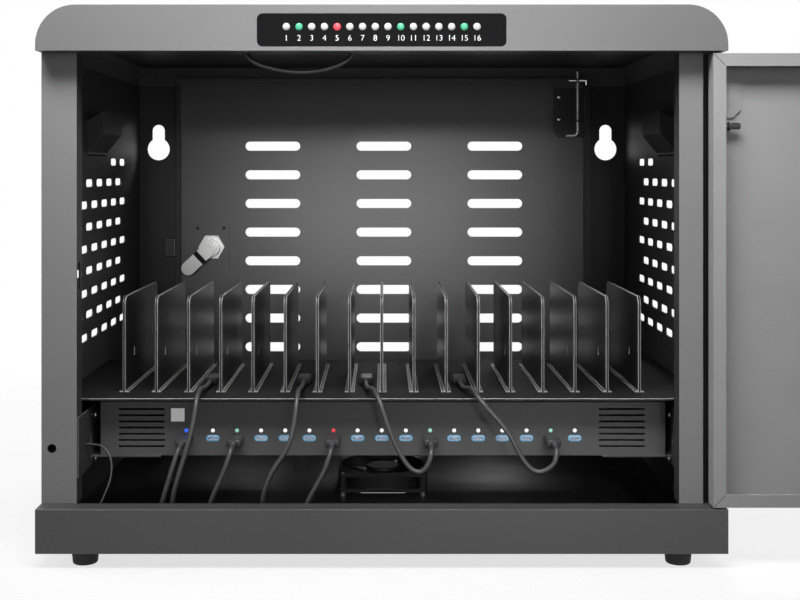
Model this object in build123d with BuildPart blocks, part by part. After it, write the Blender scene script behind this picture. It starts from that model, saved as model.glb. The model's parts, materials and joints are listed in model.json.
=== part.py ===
"""Tabletop charging cabinet: sheet steel body, two doors, divider shelf and a rack charger.

Millimetres. X runs right seen from the front, Y runs back, Z is up from the floor under the
feet, and X = 0, Y = 0 is the middle of the cabinet. The front door stands open by half a turn.
"""
import os
from math import cos, pi, radians, sin, tan

from build123d import *

# Cabinet body
width = 540.0
depth = 400.0
height = 440.0
sheet = 1.5
foot_height = 12.0
foot_radius = 11.0
foot_inset = (35.0, 18.0)
plinth_height = 34.5
cap_height = 36.0
cap_corner = 31.0
post_inset = 18.0
post_return = 17.0
left_post = 28.0
right_post = (34.0, 15.0)
right_step = 12.0
floor_rise = 8.0
raised_margin = 48.0
raised_behind = 43.0
sill_rise = 18.0
ceiling_drop = 16.0
web_inset = 21.5

front_y = -depth / 2
back_y = depth / 2
left_x = -width / 2
right_x = width / 2
side_in = right_x - sheet
plinth_top = foot_height + plinth_height
cap_low = height - cap_height
ceiling_low = height - ceiling_drop
post_y = front_y + post_inset
box_back_y = front_y + web_inset
floor_top = foot_height + floor_rise
rear_sill = foot_height + sill_rise

# Rear opening, a little wider on its hinge side so that the door edge can turn in
rear_side = 45.0
hinge_extra = 1.5
rear_rise = 28.0
rear_over = 6.0
rear_return = 10.5
hinge_return = 17.5
rear_lip = 3.0
rear_left = left_x + rear_side
rear_right = right_x - rear_side + hinge_extra
rear_low = foot_height + rear_rise
stop_y = back_y - rear_return
rear_high = cap_low + rear_over

# Vents, grips and keyholes
vent_size = (28.0, 7.0)
vent_pitch_y = 40.0
vent_pitch_z = 20.0
vent_rise = 112.5
vent_margin = 120.0
vent_middle_y = -9.0
grip_width = 76.0
grip_middle_y = -3.0
grip_drop = 80.0
grip_mouth = 32.0
grip_depth = 17.0
keyhole_inset = 22.5
keyhole_drop = 70.0
keyhole_radius = 12.2
keyhole_slot = 6.75
keyhole_rise = 20.25
inlet_rise = 38.5
inlet_hole = (20.0, 28.0)
grip_y = (grip_middle_y - grip_width / 2, grip_middle_y + grip_width / 2)
grip_low = cap_low - grip_drop
grip_high = grip_low + grip_mouth
keyhole_x = right_x - keyhole_inset
keyhole_z = cap_low - keyhole_drop
inlet_z = plinth_top + inlet_rise

# Status window
window_size = (194.5, 26.0)
window_corner = 4.5
window_drop = 20.0
led_count = 16
led_pitch = 9.9
led_radius = 3.0
led_rise = 2.6
window_z = height - window_drop
led_z = window_z + led_rise

# Charger
charger_rise = 62.5
charger_height = 44.5
charger_setback = 61.0
charger_depth = 200.0
bracket_inset = 28.0
charger_gap = (9.0, 7.0)
port_count = 16
first_port_inset = 93.0
last_port_inset = 75.0
host_gap = 22.0
port_rise = 14.3
port_ring = (11.3, 5.3)
port_slot = (9.0, 3.2)
port_light_rise = 6.3
port_light = 1.65
vent_stack = (38.0, 1.7)
vent_stack_pitch = 5.14
vent_stack_rise = 7.5
vent_stack_inset = (34.0, 36.0)
bracket_margin = (8.0, 4.7)
tray_reach = 59.0
bracket_x = right_x - bracket_inset
charger_x = (-bracket_x + charger_gap[0], bracket_x - charger_gap[1])
charger_y = (front_y + charger_setback, front_y + charger_setback + charger_depth)
charger_z = (foot_height + charger_rise, foot_height + charger_rise + charger_height)
port_first_x = charger_x[0] + first_port_inset
port_pitch = (charger_x[1] - last_port_inset - port_first_x) / (port_count - 1)
host_x = port_first_x - host_gap
port_z = charger_z[0] + port_rise
port_light_z = port_z + port_light_rise
bracket_z = (charger_z[0] - bracket_margin[0], charger_z[1] - bracket_margin[1])

# Shelf and dividers
shelf_gap = 3.9
shelf_setback = 46.0
shelf_depth = 203.0
shelf_flange = 12.0
divider_count = 17
divider_pitch = 27.0
divider_thick = 2.5
divider_setback = 26.0
divider_length = 145.0
divider_height = 80.6
divider_foot = (8.0, 1.2)
divider_corner = 8.0
divider_slot = (3.0, 6.5)
shelf_top = charger_z[1] + shelf_gap + sheet
shelf_y = (front_y + shelf_setback, front_y + shelf_setback + shelf_depth)
divider_y = (shelf_y[0] + divider_setback, shelf_y[0] + divider_setback + divider_length)
divider_top = shelf_top + divider_height

# Fan
fan_x, fan_y = 1.0, -22.0
fan_side = 80.0
fan_gap = 3.0
fan_height = 17.0
fan_bore = 38.0
fan_hub = 15.5
fan_blades = 7
fan_low = floor_top + fan_gap
fan_high = fan_low + fan_height

# Doors
front_depth = 16.0
front_gap = (1.5, 2.0)
lip = 10.0
front_axis_inset = 5.85
rear_depth = 10.0
rear_gap = 0.7
rear_edge_gap = 1.0
rear_hinge_gap = 2.2
rear_axis_inset = (10.5, 6.0)
bend = 2.0
front_low = plinth_top + front_gap[0]
front_high = cap_low - front_gap[1]
front_axis = (right_x - front_axis_inset, front_y + front_depth / 2)
rear_axis = (rear_right - rear_axis_inset[0], back_y - rear_axis_inset[1])
free_edge_x = 2 * front_axis[0] + left_x + width
slot_size = (60.6, 10.0)
slot_pitch_z = 31.75
slot_rows = 8
slot_margin = 82.5

# Hinge pins: radius, and the running clearance of the holes they turn in
front_pin = 2.5
rear_pin = 2.0
running = 0.05
pin_reach = 8.0
rear_pin_reach = 10.0
pin_handle = 17.0
rear_pin_handle = 13.0
pin_drop = 56.7
rear_pin_drop = 61.0
pin_collar_drop = 38.0
tab_drop = 46.0

# Cam locks
lock_inset = 55.0
rear_lock_inset = 37.0
lock_reach = 21.0
rear_lock_reach = 17.0
lock_barrel = 9.5
lock_flange = 11.5
lock_plug = 6.0
cam_length = 41.0
cam_width = 15.0
cam_thick = 3.0
lock_z = (front_low + front_high) / 2 + 1
front_lock_x = free_edge_x - lock_inset
rear_lock_x = rear_left + rear_lock_inset

# Cables
cable = 2.0
thin_wire = 0.9
plug_body = (12.0, 6.5, 22.0)
relief = 6.0
free_plug_y = front_y + 130


def block(x, y, z, mode=Mode.ADD):
    """A block between two coordinates on each axis."""
    with Locations(((x[0] + x[1]) / 2, (y[0] + y[1]) / 2, (z[0] + z[1]) / 2)):
        Box(x[1] - x[0], y[1] - y[0], z[1] - z[0], mode=mode)


def bore(x, y, z, radius):
    """An upright hole between two heights."""
    with BuildSketch(Plane.XY.offset(z[0])) as circle:
        with Locations((x, y)):
            Circle(radius)
    extrude(circle.sketch, amount=z[1] - z[0], mode=Mode.SUBTRACT)


# Body

def make_top_cap():
    """Lid with rolled top corners, a front return for the hinge pin and a rear return."""
    with BuildPart() as cap:
        for inset, y, mode in ((0, front_y, Mode.ADD), (sheet, front_y + sheet, Mode.SUBTRACT)):
            with BuildSketch(Plane.XZ.offset(-y)) as outline:
                with Locations((0, (cap_low + height) / 2 - inset)):
                    Rectangle(width - 2 * inset, height - cap_low)
                fillet(outline.vertices().group_by(Axis.Y)[-1], cap_corner - inset)
            extrude(amount=2 * y, mode=mode)
        block((-side_in, side_in), (front_y + sheet, box_back_y), (cap_low, cap_low + sheet))
        with BuildSketch(Plane.XZ.offset(-front_y)):
            with Locations((0, window_z)):
                RectangleRounded(*window_size, window_corner)
        extrude(amount=-sheet, mode=Mode.SUBTRACT)
        block((rear_left, rear_right), (back_y - sheet, back_y), (cap_low, rear_high), Mode.SUBTRACT)
        block((rear_left, rear_right), (back_y - rear_return, back_y - sheet),
              (rear_high, rear_high + sheet))
        block((rear_left, rear_axis[0] - rear_return), (stop_y - sheet, stop_y),
              (rear_high - rear_lip, rear_high + sheet))
        bore(*front_axis, (cap_low, cap_low + sheet), front_pin + running)
        bore(*rear_axis, (rear_high, rear_high + sheet), rear_pin + running)
    return cap


def make_ceiling_panel():
    """Folded cover under the lid: a web behind the status window and a flat ceiling."""
    with BuildPart() as panel:
        with BuildSketch(Plane.YZ):
            with BuildLine():
                Polyline(
                    (box_back_y - sheet, cap_low + sheet), (box_back_y, cap_low + sheet),
                    (box_back_y, ceiling_low), (back_y - sheet, ceiling_low),
                    (back_y - sheet, ceiling_low + sheet), (box_back_y - sheet, ceiling_low + sheet),
                    close=True,
                )
            make_face()
        extrude(amount=side_in - 7, both=True)
    return panel


def side_vents(side):
    """Staggered vent slots of one side, leaving out those below the hand grip."""
    spots = []
    first_z = plinth_top + vent_rise
    rows = int((grip_low - vent_size[1] / 2 - 1 - first_z) // vent_pitch_z) + 1
    full = int((depth - vent_margin) // vent_pitch_y)
    for row in range(rows):
        columns = full - row % 2
        for column in range(columns):
            y = vent_middle_y + vent_pitch_y * (column - (columns - 1) / 2)
            if row < rows - 1 or not grip_y[0] - 20 < y < grip_y[1] + 10:
                spots.append((y, first_z + vent_pitch_z * row))
    with BuildSketch(Plane.YZ.offset(side * side_in)) as slots:
        with Locations(*spots):
            SlotOverall(*vent_size)
    extrude(slots.sketch, amount=side * sheet, mode=Mode.SUBTRACT)


def make_side_panel(side):
    """Side skin folded into a front post. The right post is stepped back for the door edge."""
    outer, inner = width / 2, side_in
    hem = post_y + post_return
    if side < 0:
        edge = left_x + left_post
        profile = [
            (-outer, post_y), (edge, post_y), (edge, hem), (edge - sheet, hem),
            (edge - sheet, post_y + sheet), (-inner, post_y + sheet), (-inner, back_y),
            (-outer, back_y),
        ]
    else:
        step, edge, fold = post_y + right_step, right_x - right_post[0], right_x - right_post[1]
        profile = [
            (outer, back_y), (outer, step), (fold, step), (fold, post_y), (edge, post_y),
            (edge, hem), (edge + sheet, hem), (edge + sheet, post_y + sheet),
            (fold - sheet, post_y + sheet), (fold - sheet, step + sheet), (inner, step + sheet),
            (inner, back_y),
        ]
    with BuildPart() as panel:
        with BuildSketch(Plane.XY.offset(plinth_top)):
            with BuildLine():
                Polyline(*profile, close=True)
            make_face()
        extrude(amount=cap_low - plinth_top)
        side_vents(side)
        walls = (side * inner, side * outer) if side > 0 else (-outer, -inner)
        block(walls, grip_y, (grip_low, grip_high), Mode.SUBTRACT)
        if side < 0:
            # Slot for the front lock's cam, and the round hole low on the post
            block((edge - sheet, edge), (post_y + sheet, post_y + 12),
                  (lock_z - 11, lock_z + 11), Mode.SUBTRACT)
            with BuildSketch(Plane.XZ.offset(-post_y)):
                with Locations((left_x + 8.3, plinth_top + 43.5)):
                    Circle(3.5)
            extrude(amount=-sheet, mode=Mode.SUBTRACT)
    return panel


def make_grip(side):
    """Recessed finger cup that rises behind the side skin."""
    x_wall, x_in = side * width / 2, side * (width / 2 - grip_depth)
    wall = side * sheet
    with BuildPart() as grip:
        for y, shape, mode in (
            (grip_y, [(x_wall, grip_low), (x_wall, grip_high), (x_wall - wall, grip_high),
                      (x_in, grip_high + 8), (x_in, grip_low + 21)], Mode.ADD),
            ((grip_y[0] + sheet, grip_y[1] - sheet),
             [(x_wall, grip_low + 2), (x_wall, grip_high - sheet),
              (x_in + wall, grip_high + 8 - 2.2), (x_in + wall, grip_low + 21 + 1.1)],
             Mode.SUBTRACT),
        ):
            with BuildSketch(Plane.XZ.offset(-y[0])):
                with BuildLine():
                    Polyline(*shape, close=True)
                make_face()
            extrude(amount=y[0] - y[1], mode=mode)
        # Finger bead along the cup's lower edge, and two ribs on its front end
        block(tuple(sorted((x_wall - side * 2.5, x_wall - side * 0.5))),
              (grip_y[0] + sheet, grip_y[1] - sheet), (grip_low + 2, grip_low + 5.5))
    return grip


def make_back_frame():
    """Rear frame with a folded return round the door opening and two keyholes."""
    with BuildPart() as frame:
        with BuildSketch(Plane.XZ.offset(-back_y)):
            with Locations((0, (rear_sill + cap_low) / 2)):
                Rectangle(2 * side_in, cap_low - rear_sill)
            for side in (-1, 1):
                x = side * keyhole_x
                with Locations((x, keyhole_z)):
                    Circle(keyhole_radius, mode=Mode.SUBTRACT)
                with Locations((x, keyhole_z + keyhole_rise / 2)):
                    Rectangle(2 * keyhole_slot, keyhole_rise, mode=Mode.SUBTRACT)
                with Locations((x, keyhole_z + keyhole_rise)):
                    Circle(keyhole_slot, mode=Mode.SUBTRACT)
            with Locations((-keyhole_x, inlet_z)):
                Rectangle(*inlet_hole, mode=Mode.SUBTRACT)
        extrude(amount=sheet)
        block((rear_left - sheet, rear_right + sheet), (stop_y, back_y - sheet),
              (rear_low - sheet, cap_low))
        block((rear_right, rear_right + sheet), (back_y - hinge_return, back_y - sheet),
              (rear_low - sheet, cap_low))
        block((rear_left, rear_right), (stop_y, back_y), (rear_low, cap_low), Mode.SUBTRACT)
        # Stop lips that close the gap round the door, set deeper where its hinge edge turns in
        block((rear_left - sheet, rear_left + rear_lip), (stop_y - sheet, stop_y),
              (rear_low - sheet, cap_low))
        block((rear_left, rear_axis[0] - rear_return), (stop_y - sheet, stop_y),
              (rear_low - sheet, rear_low + rear_lip))
        block((rear_right - rear_hinge_gap - rear_lip / 2, rear_right + sheet),
              (back_y - hinge_return - sheet, back_y - hinge_return), (rear_low - sheet, cap_low))
        bore(*rear_axis, (rear_low - sheet, rear_low), rear_pin + running)
    return frame


def make_base_pan():
    """Base tray with a boxed front plinth and a raised floor that is vented under the fan."""
    raised_x = right_x - raised_margin
    raised_y = (front_y + raised_margin, back_y - raised_behind)
    with BuildPart() as pan:
        block((-width / 2, width / 2), (front_y, back_y), (foot_height, plinth_top))
        block((-side_in, side_in), (post_y, back_y - sheet), (foot_height + sheet, plinth_top),
              Mode.SUBTRACT)
        block((-side_in, side_in), (back_y - sheet, back_y), (rear_sill, plinth_top), Mode.SUBTRACT)
        block((-side_in, side_in), (front_y + sheet, post_y - sheet),
              (foot_height, plinth_top - sheet), Mode.SUBTRACT)
        block((-raised_x, raised_x), raised_y, (foot_height + sheet, floor_top))
        block((sheet - raised_x, raised_x - sheet), (raised_y[0] + sheet, raised_y[1] - sheet),
              (foot_height, floor_top - sheet), Mode.SUBTRACT)
        with BuildSketch(Plane.XY.offset(floor_top - sheet)):
            for row, length in zip((-26, -13, 0, 13, 26), (44, 62, 68, 62, 44)):
                with Locations((fan_x, fan_y + row)):
                    SlotOverall(length, 7)
        extrude(amount=sheet, mode=Mode.SUBTRACT)
        bore(*front_axis, (plinth_top - sheet, plinth_top), front_pin + running)
    return pan


def make_rubber_feet():
    """Four tapered feet."""
    with BuildPart() as feet:
        with GridLocations(width - 2 * foot_inset[0], depth - 2 * foot_inset[1], 2, 2):
            Cone(foot_radius - 1.25, foot_radius, foot_height, align=(Align.CENTER, Align.CENTER, Align.MIN))
    return feet


# Status window

def led_places():
    """Centres of the status lights."""
    return [(led_pitch * (i - (led_count - 1) / 2), led_z) for i in range(led_count)]


def make_display_window():
    """Dark window set in the lid, with a seat for each light."""
    with BuildPart() as window:
        with BuildSketch(Plane.XZ.offset(-front_y)):
            with Locations((0, window_z)):
                RectangleRounded(*window_size, window_corner)
            with Locations(*led_places()):
                Circle(led_radius, mode=Mode.SUBTRACT)
        extrude(amount=-2 * sheet)
    return window


def make_display_leds():
    """The row of round status lights."""
    with BuildPart() as leds:
        with BuildSketch(Plane.XZ.offset(-front_y)):
            with Locations(*led_places()):
                Circle(led_radius)
        extrude(amount=-2 * sheet)
    return leds


# Shelf and dividers

def make_shelf():
    """Flat shelf with a weld flange turned down at each side."""
    with BuildPart() as shelf:
        with BuildSketch(Plane.XZ.offset(-shelf_y[0])):
            with BuildLine():
                Polyline(
                    (-side_in, shelf_top), (side_in, shelf_top), (side_in, shelf_top - shelf_flange),
                    (side_in - sheet, shelf_top - shelf_flange), (side_in - sheet, shelf_top - sheet),
                    (sheet - side_in, shelf_top - sheet), (sheet - side_in, shelf_top - shelf_flange),
                    (-side_in, shelf_top - shelf_flange), close=True,
                )
            make_face()
        extrude(amount=shelf_y[0] - shelf_y[1])
    return shelf


def make_divider(index):
    """Upright divider on a full-length foot, with its two cable slots."""
    x = divider_pitch * (index - (divider_count - 1) / 2)
    middle_y = sum(divider_y) / 2
    with BuildPart() as divider:
        with BuildSketch(Plane.YZ.offset(x)) as plate:
            with Locations((middle_y, (shelf_top + divider_top) / 2)):
                Rectangle(divider_y[1] - divider_y[0], divider_top - shelf_top)
            fillet(plate.vertices().group_by(Axis.Y)[-1], divider_corner)
            with Locations((divider_y[0] + 36, shelf_top + 30.1),
                           (divider_y[0] + 119, shelf_top + 37.6)):
                Rectangle(*divider_slot, mode=Mode.SUBTRACT)
        extrude(amount=divider_thick / 2, both=True)
        with Locations((x, middle_y, shelf_top)):
            Box(divider_foot[0], divider_y[1] - divider_y[0], divider_foot[1],
                align=(Align.CENTER, Align.CENTER, Align.MIN))
    return divider


# Charger

def port_places():
    """X of every charging port, and of the host port before them."""
    return [host_x] + [port_first_x + port_pitch * i for i in range(port_count)]


def make_charger_case():
    """Hollow one-unit case with port and light seats and a vent stack at each end."""
    with BuildPart() as case:
        block(charger_x, charger_y, charger_z)
        block((charger_x[0] + sheet, charger_x[1] - sheet),
              (charger_y[0] + sheet, charger_y[1] - sheet),
              (charger_z[0] + sheet, charger_z[1] - sheet), Mode.SUBTRACT)
        with BuildSketch(Plane.XZ.offset(-charger_y[0])):
            with Locations(*[(x, port_z) for x in port_places()]):
                SlotOverall(*port_ring)
            with Locations(*[(x, port_light_z) for x in port_places()]):
                Circle(port_light)
            with Locations((host_x + 10.5, port_z + 2.9)):
                Circle(1)
            for x in (charger_x[0] + vent_stack_inset[0], charger_x[1] - vent_stack_inset[1]):
                with Locations(*[(x, charger_z[0] + vent_stack_rise + vent_stack_pitch * row)
                                 for row in range(7)]):
                    Rectangle(*vent_stack)
        extrude(amount=-sheet, mode=Mode.SUBTRACT)
    return case


def make_charger_ports():
    """Ringed sockets: an oval mouth with the contact tongue inside."""
    with BuildPart() as ports:
        places = [(x, port_z) for x in port_places()]
        with BuildSketch(Plane.XZ.offset(-charger_y[0])):
            with Locations(*places):
                SlotOverall(*port_ring)
        extrude(amount=-8)
        with BuildSketch(Plane.XZ.offset(-charger_y[0])):
            with Locations(*places):
                SlotOverall(*port_slot)
        extrude(amount=-7, mode=Mode.SUBTRACT)
        with BuildSketch(Plane.XZ.offset(-charger_y[0] - 7)):
            with Locations(*places):
                Rectangle(6.6, 0.7)
        extrude(amount=4.8)
    return ports


def make_charger_leds():
    """One light above each port."""
    with BuildPart() as lights:
        with BuildSketch(Plane.XZ.offset(-charger_y[0])):
            with Locations(*[(x, port_light_z) for x in port_places()]):
                Circle(port_light)
        extrude(amount=-sheet)
    return lights


def make_bracket(side):
    """Side plate with a tray under the end of the charger."""
    face = side * bracket_x
    start = post_y if side < 0 else post_y + sheet
    plate = tuple(sorted((face, face - side * sheet)))
    tray = tuple(sorted((face - side * sheet, face - side * tray_reach)))
    with BuildPart() as bracket:
        block(plate, (start, charger_y[1]), bracket_z)
        block(tray, charger_y, (charger_z[0] - sheet, charger_z[0]))
        with BuildSketch(Plane.YZ.offset(plate[0])):
            with Locations((charger_y[0] - 3.6, port_z + 0.8)):
                SlotOverall(7.5, 3, rotation=90)
            with Locations((charger_y[0] + 10.2, charger_z[1] - 12.7),
                           (charger_y[0] + 10.2, charger_z[0] - 4.3)):
                Circle(1.6)
        extrude(amount=sheet, mode=Mode.SUBTRACT)
    return bracket


# Fan

def make_fan_frame():
    """Two square flanges on a round duct, with four arms to the motor seat."""
    centre = Plane.XY.offset(fan_low).shift_origin((fan_x, fan_y, fan_low))
    tall = fan_high - fan_low
    corners = (fan_side - 8.5) / 2
    with BuildPart() as frame:
        for low in (0, tall - 3.4):
            with BuildSketch(centre.offset(low)):
                RectangleRounded(fan_side, fan_side, 3.5)
            extrude(amount=3.4)
        with BuildSketch(centre):
            Circle(fan_side / 2 - 0.2)
            with GridLocations(2 * corners, 2 * corners, 2, 2):
                Circle(3.9)
        extrude(amount=tall)
        with BuildSketch(centre):
            Circle(fan_bore)
        extrude(amount=tall, mode=Mode.SUBTRACT)
        with BuildSketch(centre):
            Circle(16)
            with PolarLocations(25, 4, start_angle=45):
                Rectangle(28, 3.2)
        extrude(amount=2.4)
        with BuildSketch(centre):
            Circle(1.5 + running)
            with GridLocations(2 * corners, 2 * corners, 2, 2):
                Circle(2.1)
        extrude(amount=tall, mode=Mode.SUBTRACT)
    return frame


def make_fan_standoffs():
    """Posts that carry the fan over the vented floor."""
    corners = fan_side - 8.5
    with BuildPart() as posts:
        with Locations((fan_x, fan_y, floor_top)):
            with GridLocations(corners, corners, 2, 2):
                Cylinder(3, fan_low - floor_top, align=(Align.CENTER, Align.CENTER, Align.MIN))
                Cylinder(2.1, fan_high - floor_top + 0.8,
                         align=(Align.CENTER, Align.CENTER, Align.MIN))
    return posts


def make_fan_rotor():
    """Hub with seven pitched blades, twisted from root to tip by a loft."""
    low = fan_low + 3
    with BuildPart() as rotor:
        with Locations((fan_x, fan_y, low)):
            Cylinder(fan_hub, 12.5, align=(Align.CENTER, Align.CENTER, Align.MIN))
        fillet(rotor.edges().group_by(Axis.Z)[-1], 1.5)
        with Locations((fan_x, fan_y, fan_low + 0.4)):
            Cylinder(1.5, 3, align=(Align.CENTER, Align.CENTER, Align.MIN))
        for i in range(fan_blades):
            spoke = Plane((fan_x, fan_y, low + 6.2)).rotated((0, 0, i * 360 / fan_blades))
            root = Plane(spoke.origin, x_dir=spoke.y_dir, z_dir=spoke.x_dir)
            with BuildSketch(root.offset(fan_hub - 1)):
                Rectangle(12.5, 1.2, rotation=38)
            with BuildSketch(root.offset(fan_bore - 2)):
                Rectangle(20, 1.0, rotation=24)
            loft()
    return rotor


# Fittings of the back

def make_power_inlet():
    """Mains inlet: flanged shell with a recessed mouth and three blades."""
    seat = Plane.XZ.offset(-back_y).shift_origin((-keyhole_x, back_y, inlet_z))
    with BuildPart() as inlet:
        with BuildSketch(seat):
            RectangleRounded(25, 50, 3)
        extrude(amount=-2.5)
        with BuildSketch(seat):
            Rectangle(*inlet_hole)
        extrude(amount=20)
        with BuildSketch(seat.offset(-2.5)):
            with BuildLine():
                Polyline((-8, -12), (3, -12), (8, -7), (8, 7), (3, 12), (-8, 12), close=True)
            make_face()
        extrude(amount=17, mode=Mode.SUBTRACT)
        with BuildSketch(seat.offset(14.5)):
            with Locations((-2.5, -7), (2.5, 0), (-2.5, 7)):
                Rectangle(4, 2)
        extrude(amount=-12)
        with BuildSketch(seat.offset(-2.5)):
            with Locations((0, -20), (0, 20)):
                Circle(1.7)
        extrude(amount=2.5, mode=Mode.SUBTRACT)
    return inlet


def make_rear_catch():
    """Strike block that the rear cam closes behind."""
    with BuildPart() as catch:
        block((rear_left - sheet - 12.4, rear_left - sheet), (back_y - 12, back_y - sheet),
              (lock_z - 9.5, lock_z + 9.2))
        chamfer(catch.edges().filter_by(Axis.Z).group_by(Axis.Y)[0], 1.5)
    return catch


# Doors

def door_pan(door, x, y_outer, z, deep, lip_width):
    """Folded pan open towards -Y, with an optional lip all round its mouth."""
    block(x, (y_outer - deep, y_outer), z)
    fillet(door.edges().filter_by(Axis.Z).group_by(Axis.Y)[-1], bend)
    mouth = y_outer - deep + (sheet if lip_width else 0)
    block((x[0] + sheet, x[1] - sheet), (mouth, y_outer - sheet), (z[0] + sheet, z[1] - sheet),
          Mode.SUBTRACT)
    if lip_width:
        block((x[0] + lip_width, x[1] - lip_width), (y_outer - deep, mouth),
              (z[0] + lip_width, z[1] - lip_width), Mode.SUBTRACT)


def lock_hole(x, y_outer):
    """Round seat for a lock barrel through the door skin."""
    with BuildSketch(Plane.XZ.offset(-y_outer)) as circle:
        with Locations((x, lock_z)):
            Circle(lock_barrel)
    extrude(circle.sketch, amount=3 * sheet, mode=Mode.SUBTRACT)


def make_front_door():
    """Front door, turned half a turn about its pins, with a fixed lower pivot."""
    y_outer = front_y + front_depth
    with BuildPart() as door:
        door_pan(door, (free_edge_x - width, free_edge_x), y_outer, (front_low, front_high),
                 front_depth, lip)
        lock_hole(front_lock_x, y_outer)
        bore(*front_axis, (front_high - sheet, front_high), front_pin + running)
        with Locations((*front_axis, front_low + sheet)):
            Cylinder(front_pin, 9, align=(Align.CENTER, Align.CENTER, Align.MAX))
    return door


def make_rear_door():
    """Vented service door with a stiffening plate at its lock and a fixed lower pivot."""
    with BuildPart() as door:
        door_pan(door, (rear_left + rear_gap, rear_right - rear_hinge_gap), back_y,
                 (rear_low + rear_edge_gap, rear_high - rear_edge_gap), rear_depth, 0)
        with BuildSketch(Plane.XZ.offset(-back_y)):
            with Locations(((rear_left + rear_right) / 2 + 1.25, (rear_low + rear_high) / 2 + 1.3)):
                with GridLocations((rear_right - rear_left - slot_margin) / 3, slot_pitch_z,
                                   3, slot_rows):
                    SlotOverall(*slot_size)
        extrude(amount=sheet, mode=Mode.SUBTRACT)
        block((rear_lock_x - 22, rear_lock_x + 19), (back_y - 2 * sheet, back_y - sheet),
              (lock_z - 26.6, lock_z + 26.4))
        lock_hole(rear_lock_x, back_y)
        with BuildSketch(Plane.XZ.offset(-back_y)):
            with Locations((rear_lock_x - 16, lock_z + 20.5), (rear_lock_x + 13, lock_z + 20.5)):
                Circle(1.8)
        extrude(amount=2 * sheet, mode=Mode.SUBTRACT)
        top = rear_high - rear_edge_gap
        bore(*rear_axis, (top - sheet, top), rear_pin + running)
        with Locations((*rear_axis, rear_low + rear_edge_gap + sheet)):
            Cylinder(rear_pin, 9, align=(Align.CENTER, Align.CENTER, Align.MAX))
    return door


def make_hinge_bracket(plate_x, skin_y, z, axis, pin_radius, tab_z, mouth_y):
    """Plate on the door skin with a tab that guides the sliding pin."""
    with BuildPart() as bracket:
        block(plate_x, (skin_y - sheet, skin_y), z)
        low = bracket.edges().filter_by(Axis.Y).group_by(Axis.Z)[0]
        chamfer(low.sort_by(lambda edge: abs(edge.center().X - axis[0]))[-1], 6)
        tab = sorted((axis[0] + 5.5, axis[0] - 4.0)) if plate_x[0] < axis[0] < plate_x[1] else plate_x
        block((max(tab[0], plate_x[0]), min(tab[1], plate_x[1])), (mouth_y, skin_y - sheet),
              (tab_z, tab_z + sheet))
        bore(*axis, (tab_z, tab_z + sheet), pin_radius + running)
    return bracket


def make_hinge_pin(axis, radius, top, bottom, handle):
    """Sprung pin bent into a finger handle, with the collar that its spring pushes on."""
    path_end = (axis[0] + handle, axis[1], bottom)
    with BuildPart() as pin:
        with BuildLine():
            FilletPolyline((*axis, top), (*axis, bottom), path_end, radius=radius + 3)
        with BuildSketch(Plane((*axis, top))):
            Circle(radius)
        sweep()
        chamfer(pin.edges().group_by(Axis.Z)[-1], 0.7)
        with Locations((*axis, top - pin_collar_drop)):
            Cylinder(radius + 0.6, 2, align=(Align.CENTER, Align.CENTER, Align.MIN))
    return pin


def make_lock_barrel(x, y_outer, reach):
    """Round lock body with its face flange outside the door."""
    with BuildPart() as barrel:
        with BuildSketch(Plane.XZ.offset(-y_outer)):
            with Locations((x, lock_z)):
                Circle(lock_barrel)
        extrude(amount=reach)
        with BuildSketch(Plane.XZ.offset(-y_outer)):
            with Locations((x, lock_z)):
                Circle(lock_flange)
        extrude(amount=-3)
        chamfer(barrel.edges().group_by(Axis.Y)[-1], 1)
        with BuildSketch(Plane.XZ.offset(-y_outer - 3)):
            with Locations((x, lock_z)):
                Circle(lock_plug + running)
        extrude(amount=reach + 3, mode=Mode.SUBTRACT)
    return barrel


def make_lock_nut(x, y_seat):
    """Hexagon nut that clamps the barrel to the door."""
    with BuildPart() as nut:
        with BuildSketch(Plane.XZ.offset(-y_seat)):
            with Locations((x, lock_z)):
                RegularPolygon(12.5, 6, major_radius=False)
                Circle(lock_barrel, mode=Mode.SUBTRACT)
        extrude(amount=5)
    return nut


def make_lock_cam(x, y_outer, reach, angle, crank):
    """Turning plug with a cranked cam on its end. The angle is measured from straight down."""
    turn = radians(angle)
    hub = Plane((x, y_outer - reach, lock_z), x_dir=(0, -1, 0), z_dir=(-cos(turn), 0, -sin(turn)))
    half = cam_width / 2
    with BuildPart() as cam:
        with BuildSketch(hub):
            with BuildLine():
                Polyline(
                    (0, half), (0, -14), (crank, -20), (crank, -cam_length),
                    (crank + cam_thick, -cam_length), (crank + cam_thick, -19),
                    (cam_thick, -13), (cam_thick, half), close=True,
                )
            make_face()
        extrude(amount=half, both=True)
        with BuildSketch(Plane(hub.origin + hub.x_dir * -8, x_dir=hub.z_dir, z_dir=hub.x_dir)):
            with Locations((0, (cam_length - half) / 2)):
                SlotOverall(cam_length + half, cam_width, rotation=90)
        extrude(amount=20, mode=Mode.INTERSECT)
        with BuildSketch(Plane.XZ.offset(-(y_outer + 2.2))):
            with Locations((x, lock_z)):
                Circle(lock_plug)
        extrude(amount=reach + 2.2)
        with BuildSketch(Plane.XZ.offset(-(y_outer - reach - cam_thick))):
            with Locations((x, lock_z)):
                RegularPolygon(5, 6, major_radius=False)
        extrude(amount=3)
        with BuildSketch(Plane.XZ.offset(-(y_outer + 2.2))):
            with Locations((x, lock_z)):
                Rectangle(1.2, 6.5)
        extrude(amount=1.5, mode=Mode.SUBTRACT)
    return cam


# Cables

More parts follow.
